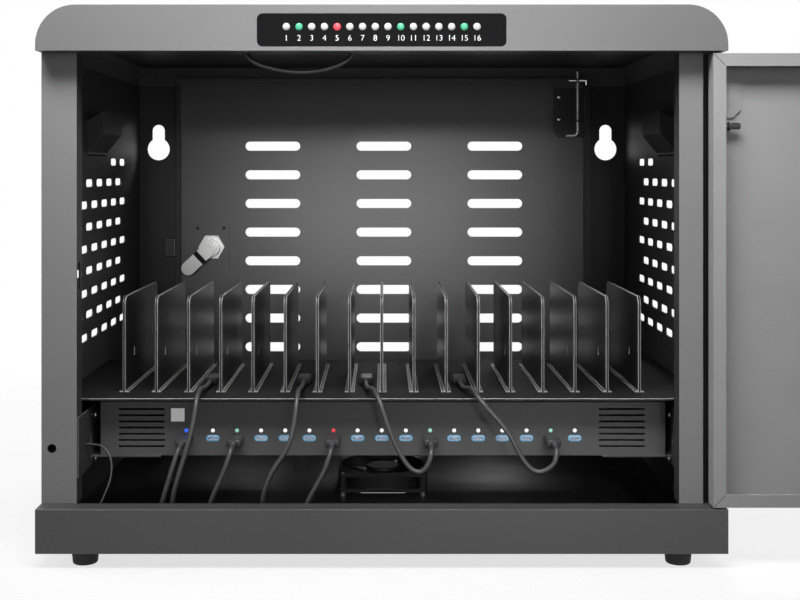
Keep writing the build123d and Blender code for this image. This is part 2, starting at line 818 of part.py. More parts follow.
def make_cord(points, radius, name):
    """Round cord along straight runs joined by arcs as large as the runs allow."""
    points = [Vector(*p) for p in points]
    runs = [b - a for a, b in zip(points, points[1:])]
    radii = []
    for first, second in zip(runs, runs[1:]):
        turn = radians(first.get_angle(second))
        radii.append(0.45 * min(first.length, second.length) / tan(turn / 2))
    with BuildPart() as cord:
        with BuildLine() as route:
            FilletPolyline(*points, radius=radii)
        with BuildSketch(Plane(points[0], z_dir=runs[0])):
            Circle(radius)
        sweep()
    length = route.wire().length
    true_volume = pi * radius**2 * length
    print(name, "length", round(length, 1), "radii", [round(r, 1) for r in radii],
          "turns", [round(a.get_angle(b)) for a, b in zip(runs, runs[1:])],
          "volume ratio", round(cord.part.volume / true_volume, 4))
    return cord


def make_plug(place):
    """Moulded plug with its metal tip on one side and a strain relief on the other."""
    long_side, short_side, body = plug_body
    with BuildSketch(place) as outline:
        SlotOverall(long_side, short_side)
    extrude(outline.sketch, amount=body)
    with BuildSketch(place.offset(body)) as wide:
        Circle(3.0)
    with BuildSketch(place.offset(body + relief)) as narrow:
        Circle(cable + 0.35)
    loft([wide.sketch.face(), narrow.sketch.face()])
    with BuildSketch(place) as shell:
        SlotOverall(8.3, 2.5)
    extrude(shell.sketch, amount=-6.4)
    with BuildSketch(place.offset(-6.4)) as mouth:
        SlotOverall(7.3, 1.5)
    extrude(mouth.sketch, amount=5.8, mode=Mode.SUBTRACT)


plugged = (2, 6, 10, 15)
bays = {port: divider_pitch * (bay - 7.5) for port, bay in ((2, 2), (6, 5), (10, 7), (15, 10))}
tail_y = charger_y[0] - plug_body[2] - relief


def make_charger_plugs():
    """Cable ends in the charging ports and the host port."""
    with BuildPart() as plugs:
        for x in [host_x] + [port_first_x + port_pitch * (n - 1) for n in plugged]:
            make_plug(Plane((x, charger_y[0], port_z), x_dir=(1, 0, 0), z_dir=(0, -1, 0)))
    return plugs


def make_device_plugs():
    """Free cable ends lying on the shelf between the dividers."""
    with BuildPart() as plugs:
        for x in bays.values():
            make_plug(Plane((x, free_plug_y, shelf_top + plug_body[1] / 2), x_dir=(1, 0, 0),
                            z_dir=(0, -1, 0)))
    return plugs


def along(points):
    """Route points given across, behind the front plane and above the underside of the pan."""
    return [(x, front_y + y, foot_height + z) for x, y, z in points]


def cable_routes():
    """Route points of each cable, from its port to its free plug."""
    port, tail = port_z - foot_height, tail_y - front_y
    rest = shelf_top + plug_body[1] / 2 - foot_height
    end = free_plug_y - plug_body[2] - relief - front_y
    routes = {}
    for n, low, up in ((2, -137, -168), (6, -60, -96)):
        x, bay = port_first_x + port_pitch * (n - 1), bays[n]
        routes[n] = along([
            (x, tail, port), (x, tail - 5.5, port), (x - 1.5, 21.7, port - 5.3),
            (x - 6, 20.6, 58), (low, 22, 34), (low - 5, 25, 12), (low - 13, 29, 4.5),
            (up + 9, 31, 4.3), (up + 1, 27, 12), (up, 23, 34), (up + 6.2, 21.2, 56),
            (bay - 6.5, 22, 78), (bay - 2, 27.5, 98), (bay - 1, 34.5, rest - 1.65),
            (bay, 48, rest + 4.85), (bay + 0.5, 66, rest + 1.35), (bay, end - 13, rest),
            (bay, end, rest),
        ])
    for n, low in ((10, 27.5), (15, 123.0)):
        x, bay = port_first_x + port_pitch * (n - 1), bays[n]
        routes[n] = along([
            (x, tail, port), (x, tail - 5.5, port), (x - 0.5, 21.7, port - 4.8),
            (x - 3, 20.5, 64), (low + 4, 21.5, 57.6), (low - 4, 23, 59.8), (low - 12, 24.5, 70),
            (low - 21, 27, 89), (bay + 12, 33, rest - 2.65), (bay + 7, 48, rest + 4.85),
            (bay + 2, 66, rest + 1.35), (bay, end - 13, rest), (bay, end, rest),
        ])
    return routes


routes = cable_routes()

ceiling = ceiling_low - foot_height
host_z, host_tail = port_z - foot_height, tail_y - front_y
host_route = along([
    (host_x, host_tail, host_z), (host_x, host_tail - 5.5, host_z),
    (host_x - 1.8, 23.2, host_z - 5.3), (host_x - 6, 21.5, 58), (host_x - 13, 22.5, 34),
    (host_x - 20, 26, 13), (host_x - 34, 30.5, 4.8), (left_x + 46, 33.5, 5),
    (left_x + 23, 33, 13), (left_x + 14, 32, 34), (left_x + 12.5, 31, 78),
    (left_x + 11.5, 31, ceiling - 278), (left_x + 12.5, 32, ceiling - 224),
    (left_x + 11.5, 31, ceiling - 169), (left_x + 12, 32, ceiling - 114),
    (left_x + 11.5, 31, ceiling - 64), (left_x + 12, 31.5, ceiling - 26),
    (left_x + 12, 31.5, ceiling),
])

plate = sheet - bracket_x
earth_route = along([
    (plate, 44, 75.7), (plate + 6.5, 44, 75.7), (plate + 15.5, 41, 74), (plate + 22.5, 36, 65),
    (plate + 23, 31, 51), (plate + 17.5, 26, 36), (plate + 10.5, 23.5, 22),
    (plate + 6.5, 23.5, 11), (plate + 6.5, 23.5, sheet),
])

loop_route = along([
    (-112, 35, ceiling), (-112, 35, ceiling - 15), (-105, 34.7, ceiling - 26),
    (-87, 35, ceiling - 31.8), (-66, 35.4, ceiling - 34.5), (-46, 35, ceiling - 32.5),
    (-28, 34.8, ceiling - 26), (-21, 35, ceiling - 15), (-21, 35, ceiling),
])


parts = {
    "top_cap": make_top_cap(),
    "ceiling_panel": make_ceiling_panel(),
    "left_side_panel": make_side_panel(-1),
    "right_side_panel": make_side_panel(1),
    "left_grip": make_grip(-1),
    "right_grip": make_grip(1),
    "back_frame": make_back_frame(),
    "base_pan": make_base_pan(),
    "rubber_feet": make_rubber_feet(),
    "display_window": make_display_window(),
    "display_leds": make_display_leds(),
    "shelf": make_shelf(),
    "charger_case": make_charger_case(),
    "charger_ports": make_charger_ports(),
    "charger_leds": make_charger_leds(),
    "left_bracket": make_bracket(-1),
    "right_bracket": make_bracket(1),
    "fan_frame": make_fan_frame(),
    "fan_standoffs": make_fan_standoffs(),
    "fan_rotor": make_fan_rotor(),
    "power_inlet": make_power_inlet(),
    "rear_catch": make_rear_catch(),
    "charger_plugs": make_charger_plugs(),
    "device_plugs": make_device_plugs(),
    "host_lead": make_cord(host_route, cable, "host_lead"),
    "earth_lead": make_cord(earth_route, thin_wire, "earth_lead"),
    "ceiling_lead": make_cord(loop_route, cable, "ceiling_lead"),
    "front_door": make_front_door(),
    "front_hinge_bracket": make_hinge_bracket(
        (front_axis[0] - 4.35, front_axis[0] + 18.85), front_y + front_depth - sheet,
        (front_high - 50, front_high - 4), front_axis, front_pin, front_high - tab_drop,
        front_y + 2.5),
    "front_hinge_pin": make_hinge_pin(
        front_axis, front_pin, cap_low + pin_reach, front_high - pin_drop, pin_handle),
    "front_lock_barrel": make_lock_barrel(front_lock_x, front_y + front_depth, lock_reach),
    "front_lock_nut": make_lock_nut(front_lock_x, front_y + front_depth - sheet),
    "front_lock_cam": make_lock_cam(front_lock_x, front_y + front_depth, lock_reach, 0, 0),
    "rear_door": make_rear_door(),
    "rear_hinge_bracket": make_hinge_bracket(
        (rear_axis[0] - 26, rear_axis[0] + 6.8), back_y - sheet,
        (rear_high - 63, rear_high - 8.5), rear_axis, rear_pin, rear_high - tab_drop,
        back_y - rear_depth + 0.5),
    "rear_hinge_pin": make_hinge_pin(
        rear_axis, rear_pin, rear_high + rear_pin_reach, rear_high - rear_pin_drop,
        -rear_pin_handle),
    "rear_lock_barrel": make_lock_barrel(rear_lock_x, back_y, rear_lock_reach),
    "rear_lock_nut": make_lock_nut(rear_lock_x, back_y - 2 * sheet),
    "rear_lock_cam": make_lock_cam(rear_lock_x, back_y, rear_lock_reach, -47, -4),
}
for number in range(divider_count):
    parts[f"divider_{number + 1:02d}"] = make_divider(number)
for number, route in routes.items():
    parts[f"usb_cable_{number:02d}"] = make_cord(route, cable, f"usb_cable_{number:02d}")

os.makedirs("parts", exist_ok=True)
for name, piece in parts.items():
    piece.part.label = name
    export_step(piece.part, f"parts/{name}.step")
print(len(parts), "parts written")
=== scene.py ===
# %% [markdown]
# # A tabletop charging cabinet, dressed in Blender
# The sheet steel, the locks and the hinges arrive as solids from the CAD frame. This script gives
# them edges, coatings and small fittings, and puts the camera where the photograph was taken.
# Everything is in metres, apart from the cables' routes: X to the right, Y to the back, Z up from
# the floor under the feet.

# %% Load the frame and keep its box
import json
from math import cos, pi, radians, sin

import bmesh
import bpy
from mathutils import Matrix, Vector

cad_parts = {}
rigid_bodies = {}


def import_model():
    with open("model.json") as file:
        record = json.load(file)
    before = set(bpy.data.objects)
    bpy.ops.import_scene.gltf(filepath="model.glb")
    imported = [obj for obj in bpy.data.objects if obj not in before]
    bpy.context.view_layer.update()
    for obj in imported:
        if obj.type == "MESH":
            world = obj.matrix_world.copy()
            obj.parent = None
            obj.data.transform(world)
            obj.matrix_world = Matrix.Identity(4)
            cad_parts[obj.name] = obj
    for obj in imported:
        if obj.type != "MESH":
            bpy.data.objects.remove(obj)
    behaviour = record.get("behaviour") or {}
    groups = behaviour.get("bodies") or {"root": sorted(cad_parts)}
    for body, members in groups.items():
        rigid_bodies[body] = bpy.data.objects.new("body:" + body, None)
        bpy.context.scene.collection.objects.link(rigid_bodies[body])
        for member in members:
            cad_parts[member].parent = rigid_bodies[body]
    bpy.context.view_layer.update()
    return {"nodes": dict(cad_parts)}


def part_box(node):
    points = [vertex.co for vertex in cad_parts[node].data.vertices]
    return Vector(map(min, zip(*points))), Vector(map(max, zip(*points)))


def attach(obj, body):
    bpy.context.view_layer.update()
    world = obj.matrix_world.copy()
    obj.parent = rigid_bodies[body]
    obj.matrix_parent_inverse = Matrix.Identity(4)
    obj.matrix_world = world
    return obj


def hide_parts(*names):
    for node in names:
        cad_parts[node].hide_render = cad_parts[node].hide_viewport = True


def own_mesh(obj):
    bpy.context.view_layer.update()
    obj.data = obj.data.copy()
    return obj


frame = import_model()

# %% [markdown]
# ## The camera
# The photograph looks straight at the front, level, from a little over a metre away and from the
# height of the cabinet's upper third. A level camera keeps upright edges upright, and the shift
# lowers the picture without tilting them. The focal length came from how much smaller the rear
# opening looks than the front one, which is nearer by the cabinet's depth.

# %% Camera
camera = bpy.data.objects.new("camera", bpy.data.cameras.new("camera"))
bpy.context.scene.collection.objects.link(camera)
bpy.context.scene.camera = camera
camera.location = (0.001, -1.142, 0.311)
camera.rotation_euler = (radians(90), 0, 0)
camera.data.sensor_width = 36
camera.data.lens = 54.45
camera.data.shift_x = 0.0213
camera.data.shift_y = -0.1625
camera.data.clip_start = 0.01
print("camera at", tuple(round(v, 3) for v in camera.location), "lens", camera.data.lens)

# %% [markdown]
# ## Cords
# Each cable is soft, so it is one smooth line and not a chain of arcs. A NURBS curve of order
# three bends gently inside its control points, as a thin jacketed cable does, and it starts and
# ends straight because its first two and last two points are in line with the plug or the gland.

# %% Helpers that add an object and lay one cable
def add(name, data, body):
    """A new object that rides on a CAD body."""
    obj = bpy.data.objects.new(name, data)
    bpy.context.scene.collection.objects.link(obj)
    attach(obj, body)
    return obj


def in_metres(place):
    """Cable routes and plugs are written in millimetres, and Blender works in metres."""
    return [value / 1000 for value in place]


def lay_cable(name, points, radius):
    """One smooth round cable through points in millimetres.

    Each point carries the radius, so the curve's box is the cable's.
    """
    curve = bpy.data.curves.new(name, "CURVE")
    curve.dimensions = "3D"
    line = curve.splines.new("NURBS")
    line.points.add(len(points) - 1)
    for point, place in zip(line.points, points):
        point.co = (*in_metres(place), 1)
        point.radius = radius
    line.order_u = 3
    line.use_endpoint_u = True
    curve.resolution_u = 8
    curve.bevel_depth = 1
    curve.bevel_resolution = 3
    return add(name, curve, "cabinet")


# %% [markdown]
# Every plug is the same moulding: a soft-edged body, a ribbed strain relief that lets the cable
# bend, and a metal tip. Its cross-sections go from a rounded rectangle to a circle, so each is a
# superellipse with its own power, and a loft through them needs no boolean.

# %% One moulded plug
ring_steps = 32
# Each section is its distance along the plug, half its width, half its height and its power.
body_sections = [
    (0, 5.2, 2.7, 5), (0.5, 5.8, 3.15, 5), (1.2, 6.0, 3.25, 5), (19.0, 6.0, 3.25, 5),
    (20.8, 5.6, 3.15, 4), (21.8, 4.2, 3.05, 3),
]
tip_sections = [
    (0.2, 4.15, 1.25, 4), (-6.0, 4.15, 1.25, 4), (-6.4, 4.0, 1.1, 4), (-6.4, 3.7, 0.8, 4),
    (-0.5, 3.65, 0.75, 4),
]
# The strain relief is round, so its ribs only need a distance and a radius.
relief_ribs = [
    (22.0, 3.0), (22.9, 3.0), (23.1, 2.6), (23.9, 2.6), (24.1, 2.85), (25.0, 2.8),
    (25.2, 2.45), (26.0, 2.45), (26.2, 2.65), (27.1, 2.6), (27.3, 2.35), (28.0, 2.3),
]
body_sections += [(along, radius, radius, 2) for along, radius in relief_ribs]


def plug_ring(work, place, along, half_wide, half_high, power):
    """One cross-section of the plug: round at power 2, nearly square at high powers."""
    ring = []
    for step in range(ring_steps):
        turn = 2 * pi * step / ring_steps
        x = abs(cos(turn)) ** (2 / power) * half_wide * (1 if cos(turn) >= 0 else -1)
        z = abs(sin(turn)) ** (2 / power) * half_high * (1 if sin(turn) >= 0 else -1)
        spot = (place[0] + x, place[1] - along, place[2] + z)
        ring.append(work.verts.new(in_metres(spot)))
    return ring


def moulded_plug(name, place):
    """A plug whose moulding starts at place and runs towards the front, metal tip behind it."""
    work = bmesh.new()
    body = [plug_ring(work, place, *section) for section in body_sections]
    tip = [plug_ring(work, place, *section) for section in tip_sections]
    for group, metal in ((body, 0), (tip, 1)):
        for first, second in zip(group, group[1:]):
            for step in range(ring_steps):
                corners = (first[step], first[step - 1], second[step - 1], second[step])
                work.faces.new(corners).material_index = metal
        for end in (group[0], group[-1]):
            work.faces.new(end).material_index = metal
    bmesh.ops.recalc_face_normals(work, faces=work.faces)
    mesh = bpy.data.meshes.new(name)
    work.to_mesh(mesh)
    work.free()
    mesh.shade_smooth()
    return add(name, mesh, "cabinet")


# %% [markdown]
# The four device cables leave their ports in the charger's front, hang down in front of it and
# rise again to the shelf, where the free plug of each waits between two dividers. Two of them are
# long and turn on the floor of the cabinet; the other two only dip.

# %% Device cables
cable_radius = 0.002        # metres, as every radius is
port_z = 88.8               # millimetres, as every place on a route is
first_port_x = -140.0
port_pitch = 20.0
host_x = -162.0
tail_y = -167.0             # where a plug's strain relief ends
plug_y = -139.0             # where its moulding meets the charger
free_plug_y = -70.0         # the same for the plugs that wait on the shelf
free_end = -98.0
plug_height = 127.65
bay = {2: -148.5, 6: -67.5, 10: -13.5, 15: 67.5}   # port number and the bay of its plug


def port_x(number):
    """Where a charging port is across the charger, in millimetres like the routes."""
    return first_port_x + port_pitch * (number - 1)


def shelf_end(number):
    """The last stretch of a cable, over the shelf's front edge to its free plug."""
    x = bay[number]
    return [(x, free_end - 13, plug_height), (x, free_end, plug_height)]


routes = {}
for number, low, up in ((2, -137, -168), (6, -60, -96)):
    x, end = port_x(number), bay[number]
    routes[number] = [
        (x, tail_y, port_z), (x, tail_y - 5.5, port_z), (x - 1.5, -178.3, 83.5),
        (x - 6, -179.4, 70), (low, -178, 46), (low - 5, -175, 24), (low - 13, -171, 16.5),
        (up + 9, -169, 16.3), (up + 1, -173, 24), (up, -177, 46), (up + 6.2, -178.8, 68),
        (end - 6.5, -178, 90), (end - 2, -172.5, 110), (end - 1, -165.5, 126),
        (end, -152, 132.5), (end + 0.5, -134, 129), *shelf_end(number),
    ]
for number, low in ((10, 27.5), (15, 123.0)):
    x, end = port_x(number), bay[number]
    routes[number] = [
        (x, tail_y, port_z), (x, tail_y - 5.5, port_z), (x - 0.5, -178.3, 84),
        (x - 3, -179.5, 76), (low + 4, -178.5, 69.6), (low - 4, -177, 71.8),
        (low - 12, -175.5, 82), (low - 21, -173, 101), (end + 12, -167, 125),
        (end + 7, -152, 132.5), (end + 2, -134, 129), *shelf_end(number),
    ]
plugs = []
for number in bay:
    plugs.append(moulded_plug(f"charger_plug_{number:02d}", (port_x(number), plug_y, port_z)))
    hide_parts("charger_plugs")
    free_place = (bay[number], free_plug_y, plug_height)
    plugs.append(moulded_plug(f"device_plug_{number:02d}", free_place))
    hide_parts("device_plugs")
plugs.append(moulded_plug("host_plug", (host_x, plug_y, port_z)))
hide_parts("charger_plugs")
for number, route in routes.items():
    cable = lay_cable(f"device_cable_{number:02d}", route, cable_radius)
    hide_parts(f"usb_cable_{number:02d}")

# %% [markdown]
# The host lead goes from the charger's host port down to the floor and up behind the left front
# post to the ceiling, where the status lights are. The earth lead is thinner. A short loop of
# cable hangs under the ceiling, where the photograph shows it.

# %% Fixed leads
host_route = [
    (host_x, tail_y, port_z), (host_x, tail_y - 5.5, port_z), (-163.8, -176.8, 83.5),
    (-168, -178.5, 70), (-175, -177.5, 46), (-182, -174, 25), (-196, -169.5, 16.8),
    (-224, -166.5, 17), (-247, -167, 25), (-256, -168, 46), (-257.5, -169, 90),
    (-258.5, -169, 146), (-257.5, -168, 200), (-258.5, -169, 255), (-258, -168, 310),
    (-258.5, -169, 360), (-258, -168.5, 398), (-258, -168.5, 424),
]
earth_route = [
    (-240.5, -156, 87.7), (-234, -156, 87.7), (-225, -159, 86), (-218, -164, 77),
    (-217.5, -169, 63), (-223, -174, 48), (-230, -176.5, 34), (-234, -176.5, 23),
    (-234, -176.5, 13.5),
]
loop_route = [
    (-112, -165, 424), (-112, -165, 409), (-105, -165.3, 398), (-87, -165, 392.2),
    (-66, -164.6, 389.5), (-46, -165, 391.5), (-28, -165.2, 398), (-21, -165, 409),
    (-21, -165, 424),
]
for name, route, radius, length in (
    ("host_lead", host_route, cable_radius, 0.541),
    ("earth_lead", earth_route, 0.0009, 0.096),
    ("ceiling_lead", loop_route, cable_radius, 0.134),
):
    lead = lay_cable(name + "_jacket", route, radius)
    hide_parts(name)
print("fixed leads laid")

# %% [markdown]
# ## Finishes
# Nearly everything is steel under a charcoal powder coat. Powder melts into a fine orange peel,
# so the coat is a dark, half-glossy shader with a bump of under a millimetre. A slower wave drives
# a little variation in tint and roughness, which keeps large panels from looking plastic. Each
# panel's shade follows the photograph, where the light falls off towards the inside.

# %% Powder coat
def shader(name):
    """A new material and its nodes and links. It starts with a principled shader."""
    material = bpy.data.materials.new(name)
    material.use_nodes = True
    return material, material.node_tree.nodes, material.node_tree.links


def noise(nodes, links, scale, detail):
    """Noise in object coordinates: grain where the scale is large, clouds where it is small."""
    place = nodes.new("ShaderNodeTexCoord")
    texture = nodes.new("ShaderNodeTexNoise")
    texture.inputs["Scale"].default_value = scale
    texture.inputs["Detail"].default_value = detail
    links.new(place.outputs["Object"], texture.inputs["Vector"])
    return texture.outputs["Fac"]


def tint(nodes, links, factor, first, second):
    """The base colour drifts between two shades of the paint."""
    mix = nodes.new("ShaderNodeMix")
    mix.data_type = "RGBA"
    mix.inputs["A"].default_value = (*first, 1)
    mix.inputs["B"].default_value = (*second, 1)
    links.new(factor, mix.inputs["Factor"])
    links.new(mix.outputs["Result"], nodes["Principled BSDF"].inputs["Base Color"])


def cloud_gloss(nodes, links, factor, low, high):
    """The roughness drifts between two values."""
    gloss = nodes.new("ShaderNodeMapRange")
    gloss.inputs["To Min"].default_value = low
    gloss.inputs["To Max"].default_value = high
    links.new(factor, gloss.inputs["Value"])
    links.new(gloss.outputs["Result"], nodes["Principled BSDF"].inputs["Roughness"])


def relief(nodes, links, height, strength, distance):
    """A shallow bump over the whole surface."""
    bump = nodes.new("ShaderNodeBump")
    bump.inputs["Strength"].default_value = strength
    bump.inputs["Distance"].default_value = distance
    links.new(height, bump.inputs["Height"])
    links.new(bump.outputs["Normal"], nodes["Principled BSDF"].inputs["Normal"])


def powder_coat(name, colour, rough=0.42, grain=0.10, dust=0.35, shine=0.3):
    """Charcoal powder coat with a fine texture, for steel of one shade."""
    material, nodes, links = shader(name)
    nodes["Principled BSDF"].inputs["Specular IOR Level"].default_value = shine
    wave = noise(nodes, links, 9, 5)
    tint(nodes, links, wave, [c * (1 - dust * 0.25) for c in colour],
         [c * (1 + dust * 0.3) for c in colour])
    cloud_gloss(nodes, links, wave, rough - 0.05, rough + 0.08)
    relief(nodes, links, noise(nodes, links, 1400, 3), grain, 0.0006)
    return material


outer_coat = powder_coat("outer_powder_coat", (0.185, 0.185, 0.187))
# The posts' fronts take a lighter copy of the outer coat: painted light.
post_coat = powder_coat("post_coat", (0.250, 0.250, 0.252))
# The plinth's front takes a darker copy of the outer coat: painted shade.
plinth_coat = powder_coat("plinth_coat", (0.110, 0.110, 0.111))
# The shelf takes a near-black copy of the coat: painted shade inside the cabinet.
shelf_coat = powder_coat("shelf_coat", (0.013, 0.013, 0.013), rough=0.62, shine=0.06)
# Faces inside the cabinet take a darker copy of the coat: painted shade.
inner_shade_coat = powder_coat("inner_powder_coat", (0.055, 0.055, 0.056), rough=0.45)
# The rear door's inner face takes a lighter copy of the coat: painted light.
rear_door_lit_coat = powder_coat("rear_door_coat", (0.230, 0.230, 0.232), rough=0.46, grain=0.14)
# The front door's inner face and its hinge bracket take a lighter copy of the coat: painted light.
door_lit_coat = powder_coat("door_inner_coat", (0.380, 0.381, 0.383), rough=0.5, grain=0.25, dust=0.9)
# The dividers take a near-black copy of the coat: painted shade between them.
divider_coat = powder_coat("divider_coat", (0.018, 0.018, 0.019), rough=0.36)
charger_coat = powder_coat("charger_coat", (0.100, 0.100, 0.102), rough=0.48, grain=0.16)
# Pale grey on the bevels: a painted edge highlight.
edge_highlight_coat = powder_coat("rubbed_edges", (0.42, 0.42, 0.42), rough=0.3, grain=0.05)
# A dimmer grey on the bevels inside the cabinet: a painted edge highlight as well.
inner_edge_highlight_coat = powder_coat("inner_edges", (0.12, 0.12, 0.12), rough=0.35, grain=0.05)
print("powder coats ready")

# %% [markdown]
# The locks and screws are zinc plated: a pale metal, a little cloudy and faintly uneven. The
# window is smoked acrylic, so dark that hardly a gloss shows. Feet, plugs and the fan are black
# polymers that differ in how much they shine. The lit lights glow as lamps do. The white lenses,
# which are not lit, the label and the port mouldings carry a painted glow, so that they read in
# the dim light under the shelf.

# %% Metal, plastics and rubber
def plated(name, colour, rough, metal=1.0):
    """Zinc plate: metal whose roughness drifts as plating does. Less metal gives a paler wire."""
    material, nodes, links = shader(name)
    surface = nodes["Principled BSDF"]
    surface.inputs["Base Color"].default_value = (*colour, 1)
    surface.inputs["Metallic"].default_value = metal
    cloud = noise(nodes, links, 160, 4)
    cloud_gloss(nodes, links, cloud, rough - 0.08, rough + 0.12)
    relief(nodes, links, cloud, 0.06, 0.0003)
    return material


def polymer(name, colour, rough, grain=0.05, shine=0.5, glow=None):
    """Moulded plastic or rubber with a fine spark-eroded grain, lit from inside if it glows."""
    material, nodes, links = shader(name)
    surface = nodes["Principled BSDF"]
    surface.inputs["Roughness"].default_value = rough
    surface.inputs["Specular IOR Level"].default_value = shine
    fine = noise(nodes, links, 900, 2)
    tint(nodes, links, fine, [c * 0.9 for c in colour], [min(c * 1.1, 1) for c in colour])
    relief(nodes, links, fine, grain, 0.0004)
    if glow:
        surface.inputs["Emission Color"].default_value = (*colour, 1)
        surface.inputs["Emission Strength"].default_value = glow
    return material


zinc = plated("zinc_plate", (0.56, 0.56, 0.55), 0.30)
dark_steel = plated("blackened_steel", (0.05, 0.05, 0.05), 0.4)
rubber = polymer("foot_rubber", (0.018, 0.018, 0.018), 0.75, grain=0.3)
fan_plastic = polymer("fan_plastic", (0.030, 0.030, 0.031), 0.34)
jacket = polymer("cable_jacket", (0.055, 0.055, 0.057), 0.38)
dark_jacket = polymer("dark_jacket", (0.012, 0.012, 0.013), 0.5)
plug_plastic = polymer("plug_plastic", (0.045, 0.045, 0.047), 0.40)
smoked = polymer("smoked_window", (0.006, 0.006, 0.0065), 0.5, grain=0.01, shine=0.04)
# The white lenses are not lit, and their glow is painted light.
white_lens = polymer("white_lens", (0.50, 0.51, 0.50), 0.25, glow=0.15)
# The white port lenses are not lit either, and their strong glow is painted light.
port_lens = polymer("port_lens", (0.85, 0.87, 0.85), 0.3, glow=0.9)
green_lens = polymer("green_lens", (0.05, 0.34, 0.19), 0.25, glow=0.45)
port_green = polymer("port_green", (0.30, 0.62, 0.46), 0.3, glow=0.7)
red_lens = polymer("red_lens", (0.72, 0.05, 0.07), 0.25, glow=0.75)
blue_lens = polymer("blue_lens", (0.03, 0.12, 0.9), 0.3, glow=1.0)
# The blue port mouldings glow a little: a painted glow, so that they read in the dim light.
port_blue = polymer("port_blue", (0.16, 0.50, 0.78), 0.35, glow=0.08)
# Pale grey on the bevels of the grips and the fan frame: a painted edge highlight.
grip_edge = polymer("grip_edge", (0.70, 0.70, 0.70), 0.4)
# A paler, less metallic copy of the zinc for the rear hinge pin: a painted highlight, so that the
# pin reads bright in the shade under the cap.
bright_wire = plated("bright_wire", (0.95, 0.95, 0.95), 0.35, metal=0.4)
port_metal = plated("port_metal", (0.92, 0.92, 0.92), 0.5, metal=0.35)
white_ink = polymer("white_ink", (0.85, 0.85, 0.85), 0.5)
# The paper label glows a little: a painted glow.
label_paper = polymer("label_paper", (0.80, 0.80, 0.79), 0.6, glow=0.25)
print("materials:", len(bpy.data.materials))

# %% [markdown]
# ## Steel with real edges
# A CAD solid has knife edges, and folded sheet never does: the coat pools into a small round that
# catches the light. Each steel piece is copied, its triangles are merged back into flat faces,
# and a bevel with an angle limit rounds what is left. The bevel's own faces take a coat of their
# own, a painted highlight: pale on most pieces and darker inside. The copy stands for the CAD
# solid.

# %% A helper that dresses a CAD solid
def dress(node, material, body, edge=0.0004, segments=2, coats=(), edge_highlight=None):
    """A copy of a CAD solid with rounded edges. Each of coats is a finish and a rule for faces."""
    mesh = frame["nodes"][node].data.copy()
    mesh.name = node + "_finished"
    work = bmesh.new()
    work.from_mesh(mesh)
    bmesh.ops.remove_doubles(work, verts=work.verts, dist=1e-6)
    bmesh.ops.dissolve_limit(work, angle_limit=radians(1), verts=work.verts, edges=work.edges)
    work.to_mesh(mesh)
    work.free()
    mesh.materials.clear()
    for finish in (material, *[coat for coat, rule in coats], edge_highlight or material):
        mesh.materials.append(finish)
    for face in mesh.polygons:
        face.use_smooth = True
        face.material_index = 0
        for number, (coat, rule) in enumerate(coats, 1):
            if rule(face.center, face.normal):
                face.material_index = number
    obj = bpy.data.objects.new(mesh.name, mesh)
    bpy.context.scene.collection.objects.link(obj)
    bevel = obj.modifiers.new("coat_edges", "BEVEL")
    bevel.width = edge
    bevel.segments = segments
    bevel.limit_method = "ANGLE"
    bevel.angle_limit = radians(32)
    bevel.use_clamp_overlap = True
    # The bevel's faces take the painted edge highlight.
    if edge_highlight:
        bevel.material = len(coats) + 1
    weight = obj.modifiers.new("flat_faces", "WEIGHTED_NORMAL")
    weight.weight = 100
    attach(obj, body)
    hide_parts(node)
    return obj


def repaint(node, material):
    """A CAD solid whose shape is right keeps it and only gets a finish."""
    mesh = frame["nodes"][node].data
    mesh.materials.clear()
    mesh.materials.append(material)


# %% [markdown]
# The photograph's light fades towards the inside, so faces that look into the cabinet take a
# darker coat than the skins. A rule on a face's middle and its normal picks them. The numbers in
# the rules lie between planes of the CAD body: Y -0.176 parts the front of a post from its return
# behind, and X 0.262 parts the inside of the base pan from its skin.

# %% Dress the body
# The cap's underside inside the cabinet takes the darker inner copy, painted shade.
dress("top_cap", outer_coat, "cabinet", edge=0.0007, edge_highlight=edge_highlight_coat,
      coats=[(inner_shade_coat, lambda spot, way: way.z < -0.5 and spot.y > -0.18)])
dress("base_pan", outer_coat, "cabinet", edge=0.0007, edge_highlight=edge_highlight_coat,
      # The plinth's front takes the darker copy, painted shade, and the pan's inside the inner
      # painted shade.
      coats=[(plinth_coat, lambda spot, way: way.y < -0.5 and spot.y < -0.19),
             (inner_shade_coat, lambda spot, way: (abs(spot.x) < 0.262 and spot.y > -0.192
                                             and way.y > -0.5))])
dress("back_frame", inner_shade_coat, "cabinet", edge_highlight=inner_edge_highlight_coat,
      coats=[(outer_coat, lambda spot, way: way.y > 0.5)])
dress("ceiling_panel", inner_shade_coat, "cabinet", edge_highlight=inner_edge_highlight_coat)
# The shelf takes the near-black copy, painted shade.
dress("shelf", shelf_coat, "cabinet", edge_highlight=edge_highlight_coat)
for node in ("left_bracket", "right_bracket"):
    dress(node, inner_shade_coat, "cabinet", edge=0.0005, edge_highlight=edge_highlight_coat)
for node, side in (("left_side_panel", -1), ("right_side_panel", 1)):
    dress(node, inner_shade_coat, "cabinet", edge=0.0003, edge_highlight=inner_edge_highlight_coat, coats=[
        (outer_coat, lambda spot, way, side=side: way.x * side > 0.5 and abs(spot.x) > 0.25),
        # The posts' fronts take the lighter copy, painted light.
        (post_coat, lambda spot, way: way.y < -0.5 and spot.y < -0.176),
        # The step behind each post takes the near-black copy: painted shade in the hinge-side
        # recess.
        (divider_coat, lambda spot, way: way.y < -0.5 and -0.176 < spot.y < -0.16)])
for number in range(1, 18):
    dress(f"divider_{number:02d}", divider_coat, "cabinet", edge=0.0005, edge_highlight=edge_highlight_coat)
dress("charger_case", charger_coat, "cabinet", edge=0.0005, edge_highlight=edge_highlight_coat)
